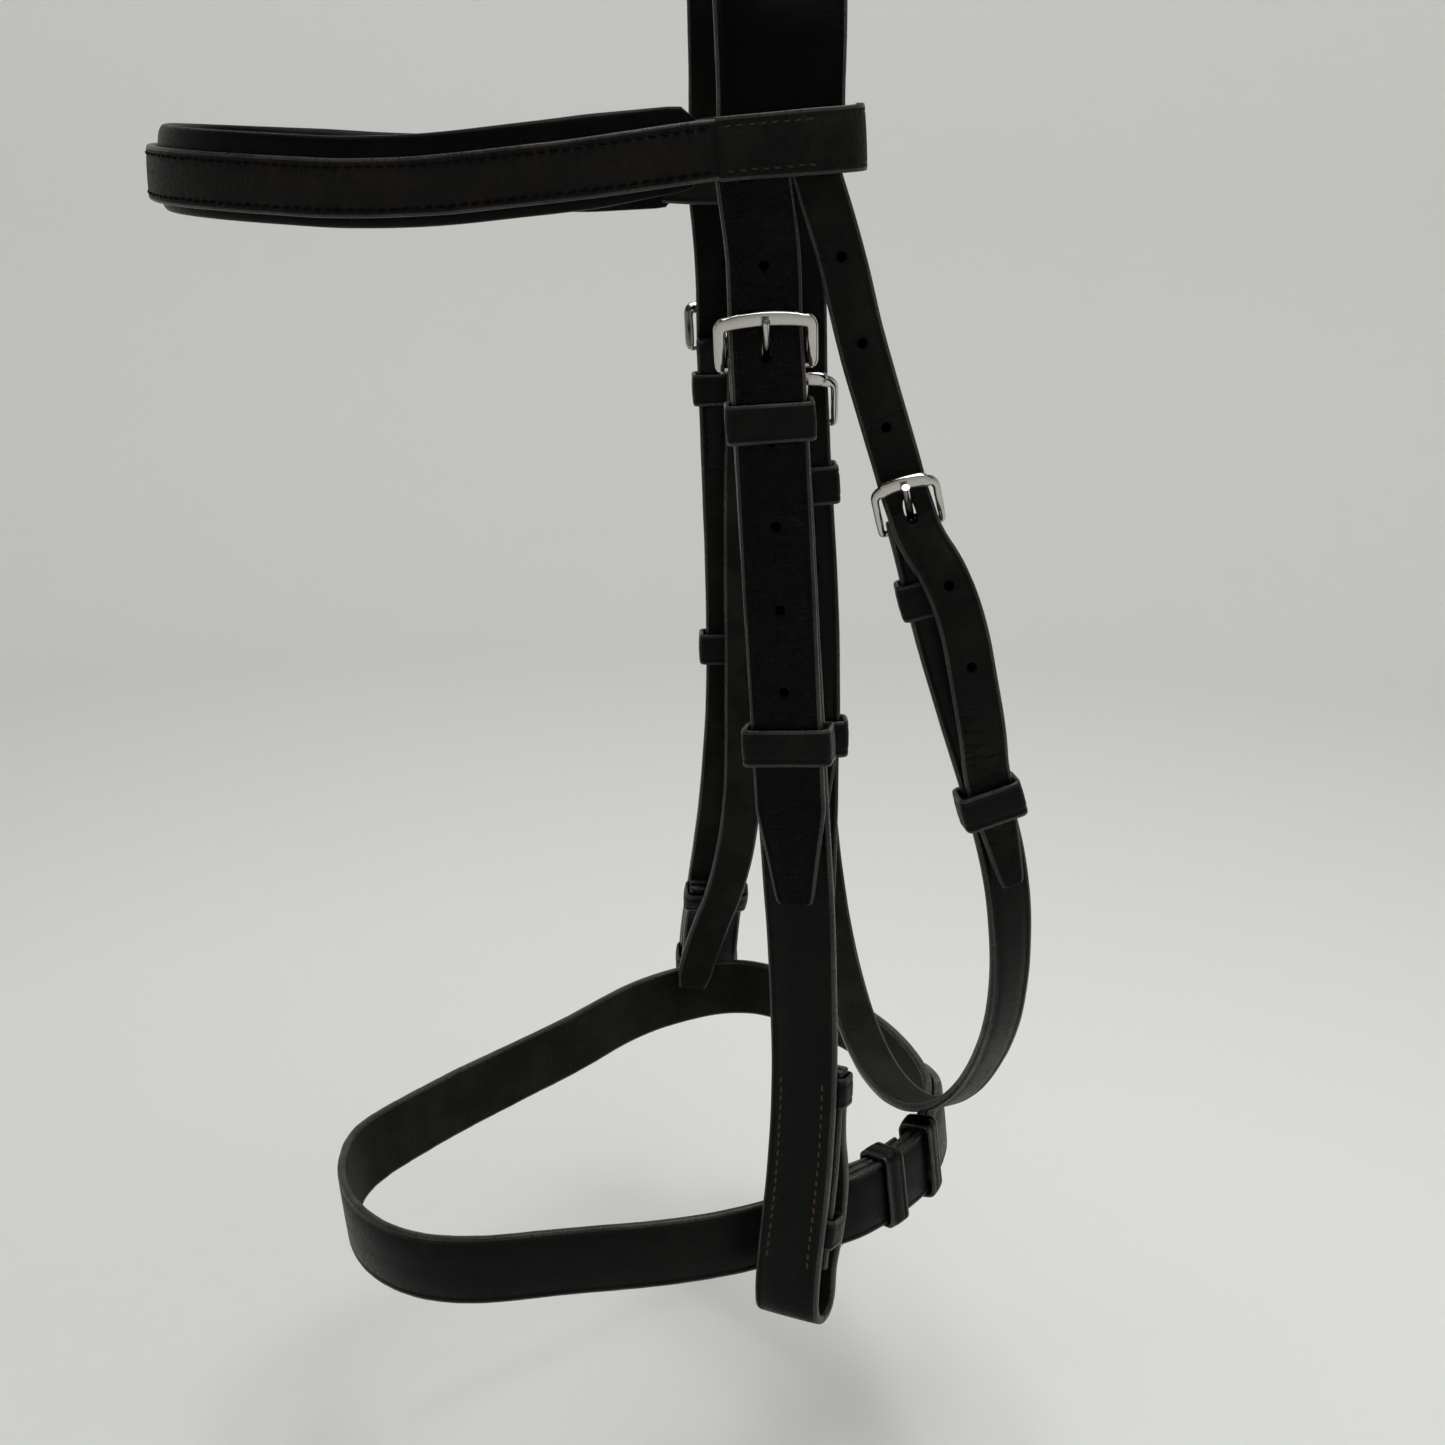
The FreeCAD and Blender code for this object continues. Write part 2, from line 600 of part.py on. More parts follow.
def headpiece():
    """The crown over the poll, split on each side into a cheek billet and a throat billet."""
    shape = strap(CROWN, run(0, CROWN.length, 0.0, pitch=8.0), crown_width, square_start=True)
    for line in (NEAR_CHEEK, FAR_CHEEK):
        route = billet_route(0, CHEEK_BAR, CHEEK_TIP)
        billet = strap(line, route, pointed(CHEEK - 0.5), square_start=True)
        billet = punched(billet, line, hole_stations(FIRST_HOLE, 6, 1), OVER)
        placement = frame_placement(line, CHEEK_BAR, BAR_OFFSET, LEAN)
        shape = shape.fuse(tongue_slots(billet, placement, False))
    ends = [
        (NEAR_THROAT_BILLET, frame_placement(THROAT, 0.0, BAR_OFFSET, LEAN)),
        (FAR_THROAT_BILLET, frame_placement(THROAT, THROAT.length, BAR_OFFSET, LEAN, True))]
    for line, placement in ends:
        route = run(0, line.length, 0.0, pitch=7.0)
        billet = strap(line, route, pointed(LIGHT - 0.4), square_start=True)
        billet = punched(billet, line, hole_stations(THROAT_HOLE, 6, 3), 0)
        shape = shape.fuse(tongue_slots(billet, placement, False))
    add_solid("headpiece", shape)


def throatlash():
    """The throat strap, with a buckle, a fixed keeper and a loose keeper at each end."""
    end = THROAT.length
    far_end = list(reversed(buckled_end(end, 32, heading=-1)))
    route = joined(buckled_end(0.0, 32), run(4, end - 4, 0.0, pitch=10.0), far_end)

    def depth(done, total):
        thin = min(done, total - done)
        return SKIVED + (PLY - SKIVED) * max(0.0, min(1.0, (thin - 38) / 8))

    body = strap(THROAT, route, LIGHT, depth)
    near_place = buckle_set("near_throat", "light_width", THROAT, 0.0)
    far_place = buckle_set("far_throat", "light_width", THROAT, end, True)
    body = tongue_slots(body, near_place)
    body = tongue_slots(body, far_place)
    add_solid("throatlash_strap", body)
    keeper("near_throat_keeper", "light_width", TURN_BACK - SKIVED / 2, PLY / 2, "keeper_room",
           frame_placement(THROAT, 18.0, 0))
    keeper("near_throat_runner", "light_width", -PLY / 2, OVER + PLY / 2 + 0.4, "runner_room",
           frame_placement(THROAT, 76.0, 0))
    keeper("far_throat_keeper", "light_width", TURN_BACK - SKIVED / 2, OVER + PLY / 2,
           "keeper_room", frame_placement(THROAT, end - 15, 0, 0, True))
    keeper("far_throat_runner", "light_width", -PLY / 2, OVER + PLY / 2, "runner_room",
           frame_placement(THROAT, end - 66, 0, 0, True))


CAVESSON_BAR = 65.0     # top of the near side to the buckle's bar
FAR_ROUTE = joined(run(0, 20, OVER), run(20, 52, OVER, 0.0),
                   run(52, FAR_CAVESSON.length - 7, 0.0))


def cavesson():
    """The noseband's own headstrap, its near cheek strap and its buckle."""
    poll = [(POLL_STRAP.length * k / 22, 0.0) for k in range(1, 22)]
    near = middles(NEAR_CAVESSON, reversed(billet_route(0, CAVESSON_BAR, 168)))
    points = near + middles(POLL_STRAP, poll) + middles(FAR_CAVESSON, FAR_ROUTE)

    def width(done, total):
        return LIGHT * (0.55 + 0.45 * min(1.0, done / 22))

    headstrap = leather(points, [Vector(0, 1, 0)] * len(points), width, PLY)
    headstrap = punched(headstrap, NEAR_CAVESSON,
                        [CAVESSON_BAR + 16 + 20 * k for k in range(4)], OVER)
    placement = buckle_set("cavesson", "light_width", NEAR_CAVESSON, CAVESSON_BAR)
    headstrap = tongue_slots(headstrap, placement, False)
    add_solid("cavesson_headstrap", headstrap)
    route = joined(buckled_end(CAVESSON_BAR, 32),
                   run(CAVESSON_BAR + 4, NEAR_CAVESSON.length - 2, 0.0, pitch=11.0))
    cheek = strap(NEAR_CAVESSON, route, LIGHT, skived_start(38))
    cheek = tongue_slots(cheek, placement)
    add_solid("cavesson_cheek_strap", cheek)
    keeper("cavesson_keeper", "light_width", TURN_BACK - SKIVED / 2, OVER + PLY / 2,
           "keeper_room", frame_placement(NEAR_CAVESSON, CAVESSON_BAR + 15, 0))
    keeper("cavesson_runner", "light_width", -PLY / 2, OVER + PLY / 2, "runner_room",
           frame_placement(NEAR_CAVESSON, CAVESSON_BAR + 82, 0))


CHIN_BAR = NOSE_ROUND + 32.0    # the chin buckle's bar, where the strap comes round again


def noseband():
    """One strap: billet at the near side, over the nose, round the far side, to the chin buckle."""
    bar = CHIN_BAR
    lap = CHIN_BAR - NOSE_ROUND
    tip = NOSE.stations[23 * 10] + 6 - NOSE_ROUND      # the tip lies behind the far jaw
    billet = run(NOSE_ROUND + tip, NOSE_ROUND, OVER)
    rest = joined(run(0, lap - 1, OVER), run(lap - 1, lap + 12, OVER, DIP, 4.0),
                  run(lap + 12, lap + 20, DIP, DIP, 4.0), run(lap + 20, lap + 42, DIP, 0.0),
                  run(lap + 42, bar - 4, 0.0), reversed(buckled_end(bar, 27, heading=-1)))
    points = middles(NOSE, billet[:-1] + rest)
    up = Vector(-NOSE_ROLL, -NOSE_PITCH, 1).normalize()
    done = 0.0
    widths = []
    for k, centre in enumerate(points):
        if k:
            done += (centre - points[k - 1]).Length
        front = math.exp(-(centre - NOSE_FRONT).Length / 75)
        taper = 0.5 + 0.5 * min(1.0, done / 24)
        widths.append((dim("nose_width") + dim("nose_swell") * front) * taper)

    def depth(done, total):
        return SKIVED + (PLY - SKIVED) * max(0.0, min(1.0, (total - done - 33) / 8))

    shape = leather(points, [up] * len(points), widths, depth)
    placement = buckle_set("chin", "nose_width", NOSE, bar, True)
    shape = tongue_slots(shape, placement)
    shape = tongue_slots(shape, placement, False)
    shape = punched(shape, NOSE, [NOSE_ROUND - 10 - 19 * k for k in range(3)], OVER)
    add_solid("noseband_strap", shape)
    keeper("chin_keeper", "nose_width", TURN_BACK - SKIVED / 2, OVER + PLY / 2, "keeper_room",
           frame_placement(NOSE, bar - 16, 0, 0, True), "chin_keeper_height")
    keeper("chin_runner", "nose_width", -PLY / 2, OVER + PLY / 2, "runner_room",
           frame_placement(NOSE, bar - 35, 0, 0, True), "chin_keeper_height")


def browband():
    """The stitched strip with a sewn loop at each end, and the padding behind it."""
    inner = -10.9
    half_turn = -inner / 2
    near_end = joined([(BROW_NEAR + 34, -2.4), (BROW_NEAR + 29, -2.5), (BROW_NEAR + 24, -4.2),
                       (BROW_NEAR + 19.5, -7.8), (BROW_NEAR + 16.5, -10.2), (BROW_NEAR + 12, inner)],
                      run(BROW_NEAR + 6, BROW_NEAR - 13, inner, inner, 7.0),
                      fold(BROW_NEAR - 13.6, inner / 2, half_turn, 270, 90))
    far_end = [(BROW_NEAR + BROW_FAR - s, v) for s, v in reversed(near_end)]
    route = joined(near_end, run(BROW_NEAR - 10, BROW_FAR + 10, 0.0), far_end)

    def depth(done, total):
        thin = min(done, total - done)
        return SKIVED + (PLY - 0.2 - SKIVED) * max(0.0, min(1.0, (thin - 50) / 12))

    add_solid("browband_strap", strap(BROW, route, dim("brow_width"), depth))
    start = BROW_NEAR + 36
    stop = BROW_FAR - 36
    count = 40
    wires = []
    for k in range(count + 1):
        f = k / count
        station = start + (stop - start) * f
        place, along, across, out = BROW.at(station)
        end = min(f, 1 - f) * (stop - start)
        full = min(1.0, 0.35 + 0.65 * end / 24)
        deep = dim("pad_depth") * full
        tall = dim("pad_height") * (0.8 + 0.2 * full)
        centre = place + out * (-PLY / 2 - 0.35 - deep / 2) + across * PAD_LIFT
        bevel = deep * 0.3
        a = tall / 2
        b = deep / 2
        ring = [(a - bevel, b), (a, b - bevel), (a, -b + bevel), (a - bevel, -b),
                (-a + bevel, -b), (-a, -b + bevel), (-a, b - bevel), (-a + bevel, b)]
        corners = [centre + across * u + out * v for u, v in ring]
        wires.append(Part.makePolygon(corners + corners[:1]))
    add_solid("browband_padding", Part.makeLoft(wires, True, True))


headpiece()
cheekpiece("near", NEAR_CHEEK, CHEEK_BAR)
cheekpiece("far", FAR_CHEEK, CHEEK_BAR)
throatlash()
cavesson()
noseband()
browband()
doc.recompute()

for thing in doc.Objects:
    if "Invalid" in thing.State or "Error" in thing.State:
        raise RuntimeError("%s failed: %s" % (thing.Label, thing.State))
for thing in made:
    shape = thing.Shape
    if shape.isNull() or not shape.isValid():
        raise RuntimeError("%s has no valid shape" % thing.Label)
for thing in made:
    thing.Shape.exportStep("parts/%s.step" % thing.Label)
    print("%-26s solids %d  volume %9.1f mm3  faces %d" % (
        thing.Label, len(thing.Shape.Solids), thing.Shape.Volume, len(thing.Shape.Faces)))
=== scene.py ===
"""Looks of an English bridle without its bit.

Straps, metal and padding are worked out in millimetres and made in metres.
"""
import math
import random

import bpy
import numpy as np
from mathutils import Matrix, Vector


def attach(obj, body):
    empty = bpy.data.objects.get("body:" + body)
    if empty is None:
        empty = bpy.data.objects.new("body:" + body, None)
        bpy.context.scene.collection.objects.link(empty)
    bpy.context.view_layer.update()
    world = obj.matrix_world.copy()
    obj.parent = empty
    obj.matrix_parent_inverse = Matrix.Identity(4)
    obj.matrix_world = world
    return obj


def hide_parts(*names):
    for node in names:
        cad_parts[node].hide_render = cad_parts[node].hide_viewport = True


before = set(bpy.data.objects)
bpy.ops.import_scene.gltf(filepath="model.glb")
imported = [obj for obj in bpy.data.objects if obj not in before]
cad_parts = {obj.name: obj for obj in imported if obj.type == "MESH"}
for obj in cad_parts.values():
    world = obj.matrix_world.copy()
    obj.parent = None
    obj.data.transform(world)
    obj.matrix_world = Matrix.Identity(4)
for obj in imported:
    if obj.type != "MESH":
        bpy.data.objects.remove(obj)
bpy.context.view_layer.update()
random.seed(7)
rng = np.random.default_rng(7)

# ---------------------------------------------------------------- camera
CAMERA_PLACE, LENS = (0.702, -0.0467, -0.050), 62.3
PITCH, SWING = math.radians(15.5), math.radians(3.02)
ahead = Vector((-math.cos(SWING) * math.cos(PITCH), math.sin(SWING) * math.cos(PITCH),
                -math.sin(PITCH)))
right = Vector((math.sin(SWING), math.cos(SWING), 0))
up = right.cross(ahead)
lens = bpy.data.cameras.new("camera")
lens.sensor_width = 36
lens.lens = LENS
lens.clip_start = 0.01
camera = bpy.data.objects.new("camera", lens)
camera.matrix_world = Matrix([
    (right[k], up[k], -ahead[k], CAMERA_PLACE[k]) for k in range(3)] + [(0, 0, 0, 1)])
bpy.context.collection.objects.link(camera)
bpy.context.scene.camera = camera

# ---------------------------------------------------------------- materials
def nodes_of(name):
    material = bpy.data.materials.new(name)
    material.use_nodes = True
    tree = material.node_tree
    return material, tree, tree.nodes["Principled BSDF"]


def math_node(tree, kind, a, b):
    node = tree.nodes.new("ShaderNodeMath")
    node.operation = kind
    for socket, value in zip(node.inputs, (a, b)):
        if isinstance(value, (int, float)):
            socket.default_value = value
        else:
            tree.links.new(value, socket)
    return node.outputs[0]


def noise(tree, vector, scale, detail=3.0, rough=0.55, bent=0.0):
    node = tree.nodes.new("ShaderNodeTexNoise")
    node.inputs["Scale"].default_value = scale
    node.inputs["Detail"].default_value = detail
    node.inputs["Roughness"].default_value = rough
    node.inputs["Distortion"].default_value = bent
    tree.links.new(vector, node.inputs["Vector"])
    return node.outputs["Fac"]


def ramp(tree, value, low, high, first, last):
    node = tree.nodes.new("ShaderNodeMapRange")
    node.interpolation_type = "SMOOTHSTEP"
    for key, number in (("From Min", low), ("From Max", high), ("To Min", first), ("To Max", last)):
        node.inputs[key].default_value = number
    tree.links.new(value, node.inputs["Value"])
    return node.outputs["Result"]


def mix(tree, factor, a, b):
    node = tree.nodes.new("ShaderNodeMix")
    node.data_type = "RGBA"
    tree.links.new(factor, node.inputs["Factor"])
    node.inputs["A"].default_value = (*a, 1)
    node.inputs["B"].default_value = (*b, 1)
    return node.outputs["Result"]


def leather(name, dark, worn, gloss, dull, grain=0.35, crease=0.3, wear=0.62, fuzz=0.0,
            gleam=0.16):
    """Leather: fine grain, creases across the strap, and rubbed patches; the crease valleys also
    darken the colour as painted shade.
    """
    material, tree, shader = nodes_of(name)
    where = tree.nodes.new("ShaderNodeTexCoord")
    place = where.outputs["Object"]
    stretch = tree.nodes.new("ShaderNodeMapping")
    stretch.inputs["Scale"].default_value = (0.16, 1.0, 1.0)
    tree.links.new(where.outputs["UV"], stretch.inputs["Vector"])
    patches = noise(tree, place, 55, 4, 0.6)
    fine = noise(tree, place, 2600, 2, 0.6)
    pores = noise(tree, place, 900, 3, 0.65)
    across = noise(tree, stretch.outputs["Vector"], 0.75, 4, 0.6, 0.7)
    area = noise(tree, place, 34, 2, 0.5)
    valleys = ramp(tree, across, 0.36, 0.44, 1.0, 0.0)
    shown = ramp(tree, area, 0.4, 0.58, 0.15, 1.0)
    valleys = math_node(tree, "MULTIPLY", valleys, shown)
    wear_and_painted_shade = ramp(tree, patches, wear - 0.12, wear + 0.14, 0.0, 1.0)
    # Painted shade: the crease valleys take the lighter worn colour back to the dark colour, so the
    # creases read as dark lines.
    painted_crease_shade = math_node(tree, "MULTIPLY", valleys, min(1.0, crease))
    wear_and_painted_shade = math_node(tree, "SUBTRACT", wear_and_painted_shade, painted_crease_shade)
    wear_and_painted_shade = math_node(tree, "MAXIMUM", wear_and_painted_shade, 0.0)
    tree.links.new(mix(tree, wear_and_painted_shade, dark, worn), shader.inputs["Base Color"])
    shine = ramp(tree, pores, 0.3, 0.7, gloss, dull)
    tree.links.new(shine, shader.inputs["Roughness"])
    height = math_node(tree, "MULTIPLY", fine, grain * 0.4)
    height = math_node(tree, "ADD", height, math_node(tree, "MULTIPLY", pores, grain))
    height = math_node(tree, "SUBTRACT", height, math_node(tree, "MULTIPLY", valleys, crease * 2.4))
    bump = tree.nodes.new("ShaderNodeBump")
    bump.inputs["Strength"].default_value = 0.9
    bump.inputs["Distance"].default_value = 0.00026
    tree.links.new(height, bump.inputs["Height"])
    tree.links.new(bump.outputs["Normal"], shader.inputs["Normal"])
    shader.inputs["Specular IOR Level"].default_value = gleam
    if fuzz:
        shader.inputs["Sheen Weight"].default_value = fuzz
        shader.inputs["Sheen Roughness"].default_value = 0.5
    return material


def plain(name, colour, rough, metallic=0.0, vary=0.0, scale=400, gleam=0.5):
    material, tree, shader = nodes_of(name)
    shader.inputs["Base Color"].default_value = (*colour, 1)
    shader.inputs["Metallic"].default_value = metallic
    shader.inputs["Specular IOR Level"].default_value = gleam
    where = tree.nodes.new("ShaderNodeTexCoord").outputs["Object"]
    mottled = noise(tree, where, scale, 3)
    shine = ramp(tree, mottled, 0.3, 0.7, rough - vary, rough + vary)
    tree.links.new(shine, shader.inputs["Roughness"])
    return material


GRAIN = leather("black_leather", (0.0014, 0.0013, 0.0012), (0.0050, 0.0041, 0.0034), 0.36, 0.52,
                grain=0.4, crease=0.1, gleam=0.12)
CREASED = leather("creased_leather", (0.0018, 0.0016, 0.0014), (0.0055, 0.0048, 0.0040), 0.4, 0.58,
                  grain=0.45, crease=1.2, wear=0.5, gleam=0.1)
BILLET = leather("billet_leather", (0.0005, 0.0005, 0.0005), (0.0018, 0.0016, 0.0013), 0.24, 0.4,
                 grain=0.28, crease=0.4, wear=0.6, gleam=0.08)
CROWN_LEATHER = leather("crown_leather", (0.0004, 0.0004, 0.0004), (0.0010, 0.0010, 0.0009), 0.34,
                        0.44, grain=0.15, crease=0.05, gleam=0.05)
FLESH = leather("flesh_side", (0.0042, 0.0042, 0.0032), (0.0105, 0.0102, 0.0080), 0.75, 0.92,
                grain=0.9, crease=0.15, wear=0.5, fuzz=0.04, gleam=0.1)
DARK_FLESH = leather("dyed_flesh_side", (0.0014, 0.0014, 0.0012), (0.0036, 0.0035, 0.0029), 0.7, 0.9,
                     grain=0.6, crease=0.1, wear=0.52, gleam=0.1)
EDGE = leather("cut_edge", (0.0034, 0.0031, 0.0028), (0.024, 0.020, 0.0165), 0.24, 0.46, grain=0.55,
               crease=0.1, wear=0.48, gleam=0.4)
BROW_LEATHER = leather("browband_leather", (0.0022, 0.0020, 0.0017), (0.0088, 0.0050, 0.0036), 0.42,
                       0.62, grain=0.8, crease=0.3, wear=0.56, gleam=0.14)
LOOP_LEATHER = leather("worn_loop_leather", (0.0008, 0.0007, 0.0006), (0.0060, 0.0052, 0.0038), 0.5,
                       0.72, grain=1.1, crease=0.5, wear=0.52, gleam=0.14)
PADDING = leather("padding_leather", (0.0005, 0.0005, 0.0005), (0.0016, 0.0016, 0.0015), 0.3, 0.46,
                  grain=0.3, crease=0.12, gleam=0.07)
# Near-black, matte hole walls and hole-shutting faces: painted shade for the dark inside of punched
# holes.
HOLE_PAINTED_SHADE = plain("hole_painted_shade", (0.0003, 0.0003, 0.0003), 0.85, 0.0, 0.05, gleam=0.02)
METAL = plain("stainless", (0.50, 0.48, 0.45), 0.13, 1.0, 0.05, 700)
BLACK_THREAD = plain("black_thread", (0.0010, 0.0009, 0.0009), 0.7, 0.0, 0.1, gleam=0.06)
BROWN_THREAD = plain("brown_thread", (0.085, 0.042, 0.025), 0.65, 0.0, 0.1, gleam=0.2)
WORN_THREAD = plain("worn_thread", (0.032, 0.028, 0.021), 0.7, 0.0, 0.1, gleam=0.1)

# ---------------------------------------------------------------- lines that the straps follow
PLY, SKIVED = 2.6, 1.6                          # leather, and leather thinned round a bar
CHEEK, LIGHT, NOSE_WIDTH = 19.05, 12.7, 19.6    # strap widths
NOSE_SWELL = 3.6                                # the noseband is wider over the nose
CROWN_WIDTH, POLL_SWELL = 31.2, 6.8             # headpiece at the browband, and more over the poll
BROW_WIDTH, PAD_HEIGHT, PAD_DEPTH = 14.6, 22.6, 6.0
OVER = PLY + 0.35                               # offset of a billet that lies on its strap
BAR_ROOM, RISE = 1.25, 13.5                     # room round a buckle's bar, and bar to top rail
WRAP = BAR_ROOM + 0.2 + SKIVED / 2
BAR_OFFSET = PLY / 2 - SKIVED / 2 - WRAP
LEAN = math.asin((4.05 - BAR_OFFSET) / RISE)
DIP = 0.3                                       # offset of a billet under the top rail
TURN_BACK = -(SKIVED + PLY) / 2 - 0.3           # offset of a ply that is turned back


def unit(v):
    return v / np.linalg.norm(v)


def between(a, b, c, d, f):
    """A point on the smooth curve from b to c, with a before them and d after."""
    return (2 * b + (c - a) * f + (2 * a - 5 * b + 4 * c - d) * f * f
            + (3 * b - a - 3 * c + d) * f ** 3) * 0.5


PARTS = 10      # a line is worked out in this many parts from each point to the next


class Line:
    """A smooth line through points, with the strap's width direction at each of them."""

    def __init__(self, points, ways, outward):
        self.outward, self.places, self.ways = outward, [], []
        points = [np.array(p, float) for p in points]
        ways = [np.array(w, float) for w in ways]
        last = len(points) - 1
        for k in range(last):
            a, b, c, d = points[max(k - 1, 0)], points[k], points[k + 1], points[min(k + 2, last)]
            for j in range(PARTS + (k == last - 1)):
                f = j / PARTS
                self.places.append(between(a, b, c, d, f))
                self.ways.append(ways[k] * (1 - f) + ways[k + 1] * f)
        steps = [np.linalg.norm(b - a) for a, b in zip(self.places, self.places[1:])]
        self.stations = np.concatenate([[0.0], np.cumsum(steps)])
        self.length = self.stations[-1]

    def at(self, station):
        """The place, and the directions along, across and outward, at a station."""
        last = len(self.places) - 2
        k = max(0, min(last, int(np.sum(self.stations <= station)) - 1))
        f = (station - self.stations[k]) / (self.stations[k + 1] - self.stations[k])
        place = self.places[k] * (1 - f) + self.places[k + 1] * f
        forward = self.places[min(k + 2, last + 1)] - self.places[k]
        behind = self.places[k + 1] - self.places[max(k - 1, 0)]
        g = max(0.0, min(1.0, f))
        along = unit(behind * (1 - g) + forward * g)
        way = self.ways[k] * (1 - g) + self.ways[k + 1] * g
        out = unit(np.cross(along, way)) * self.outward
        return place, along, unit(np.cross(out, along)) * self.outward, out


def hanging(points, outward):
    ways = [(math.sin(math.radians(p[3])), math.cos(math.radians(p[3])), 0) for p in points]
    return Line([p[:3] for p in points], ways, outward)


NEAR_CHEEK = hanging([
    (81, -6.3, -87, 0), (81, -4, -104, 0), (81, -3.2, -125, 0), (81, -1.9, -146, 2),
    (81, 0.3, -180, 8), (81, 2.6, -215, 13), (81, 5, -252, 18), (81, 7.1, -285, 25),
    (81, 8.1, -320, 30), (81, 6.9, -350, 31), (81, 4.3, -378, 31), (81, 3.8, -396, 31)], 1)
FAR_CHEEK = hanging([
    (-81, -6.3, -101, 0), (-81, -4.8, -119, 0), (-81, -4, -146, 0), (-81, -2.4, -190, 0),
    (-81, -1.2, -230, 0), (-82, -1.4, -262, 0), (-87, -2.8, -288, 0), (-97, -4.4, -310, 0),
    (-109.5, -6, -329, 0), (-122.5, -7.3, -345, 0), (-134.5, -8.2, -360, 0),
    (-145, -8.6, -374, 0), (-156, -8.6, -388, 0)], -1)
NEAR_CAVESSON = hanging([
    (76.6, 5.4, -84, 0), (72, 6.2, -104, 0), (68, 6.9, -124, 0), (66.2, 7.8, -148, 0),
    (65.8, 9.6, -176, 1), (66.6, 11.1, -205, 2), (67.8, 11.3, -240, 2), (67.6, 10.8, -275, 0),
    (64.6, 9.8, -310, -4), (59.4, 8.8, -338, -12), (55, 8.2, -354, -20), (52.6, 8, -368, -24),
    (52.2, 8, -383, -24)], 1)
FAR_CAVESSON = hanging([
    (-77.2, 4, -84, 0), (-77.2, 3.7, -102, 0), (-74.2, 3, -119, 0), (-73.4, 2, -150, 0),
    (-73.5, 1, -190, 0), (-74, 1.2, -232, 0), (-75.5, 1.4, -270, 0), (-80.5, 1, -293, 0),
    (-87.5, -0.8, -313, -2), (-94.6, -4, -330, -5), (-100.2, -8.6, -345, -9),
    (-102.6, -12.2, -357, -14), (-103.2, -14.8, -368, -17), (-103, -16, -375, -17)], -1)
NEAR_THROAT_BILLET = hanging([
    (83.95, 9.7, -87, 0), (84.8, 15, -104, 0), (86, 20, -124, 0), (86.8, 26, -144, 0),
    (87, 30, -157, 0), (87, 31.2, -161.3, 0), (89.6, 34.4, -171, 0), (93.2, 41, -182, 0),
    (95, 45.6, -194, 0), (94, 49, -209, 0), (90.4, 52.2, -224, 0), (87, 54.2, -236, -4),
    (85.9, 57.3, -248, -9), (83.9, 62.2, -267, -18)], 1)
THROAT = hanging([
    (86.4, 33.8, -171, 0), (86, 38, -187, 0), (85.4, 43, -205, 0), (84.6, 49, -224, 0),
    (83, 56, -246, -8), (80.4, 61.4, -268, -18), (74.5, 64, -292, -30), (64.5, 64, -314, -34),
    (49, 61.6, -334, -34), (38, 57, -347, -30), (29, 51.4, -354, -24), (20, 45.6, -356.8, -16),
    (3, 41.2, -358.8, -8), (-18, 37.9, -358.7, 0), (-40, 34.5, -353.2, 4), (-57, 31.4, -341.8, 4),
    (-69.5, 28.8, -326.4, 4), (-77, 26.5, -307.2, 2), (-81, 24.7, -284.6, 0), (-82.5, 22.4, -250, 0),
    (-82.5, 20, -215, 0), (-82.5, 17.6, -184, 0)], 1)
FAR_THROAT_BILLET = hanging([
    (-83.95, 9.6, -101, 0), (-85.7, 10.8, -114, 0), (-88, 11.8, -128, 0), (-88, 12.8, -140, 0),
    (-85.5, 14.3, -153, 0), (-83, 15.6, -165, 0), (-82.8, 16.2, -170, 0), (-82.9, 16.7, -174, 0),
    (-85.6, 17.5, -184, 0),
    (-85.45, 20, -215, 0), (-85.45, 22.2, -247, 0), (-85.2, 24, -272, 0)], -1)


def level_line(points, way, outward):
    return Line(points, [way] * len(points), outward)


def arch(half_width, top, near_y, far_y, near_foot, far_foot):
    points = list(near_foot)
    for angle in range(0, 181, 15):
        a = math.radians(angle)
        points.append((half_width * math.cos(a), near_y + (far_y - near_y) * angle / 180,
                       -68.0 + (top + 68.0) * math.sin(a)))
    return points + list(far_foot)


NEAR_SPLIT, FAR_SPLIT = -87.0, -101.0
CROWN = level_line(arch(83.95, 4.65, 0, 0, [(83.95, 0, NEAR_SPLIT)],
                        [(-83.95, 0, -85), (-83.95, 0, FAR_SPLIT)]), (0, 1, 0), -1)
POLL_STRAP = level_line(arch(80.4, PLY / 2, 4.6, 4, [(79.55, 5.4, -84)], [(-80.15, 4, -84)]),
                        (0, 1, 0), -1)

NOSE_PLAN = [
    (29, 45), (41, 35), (50, 22.5), (56.5, 9), (61, -4), (63.2, -17), (63.4, -33),
    (61.6, -57), (59.8, -82), (53, -99.5), (39, -113), (20, -121.5), (0, -123.5),
    (-20, -118.5), (-44, -96.5), (-61, -77), (-78, -57), (-98, -36.5), (-107, -20),
    (-109.5, -4), (-104, 9), (-88, 23), (-57, 41), (-28, 51), (2, 54), (29, 45),
    (41, 35), (50, 22.5), (56.5, 9)]


def nose_point(x, y):
    return x, y, -375.5 - 0.048 * x + 0.114 * y


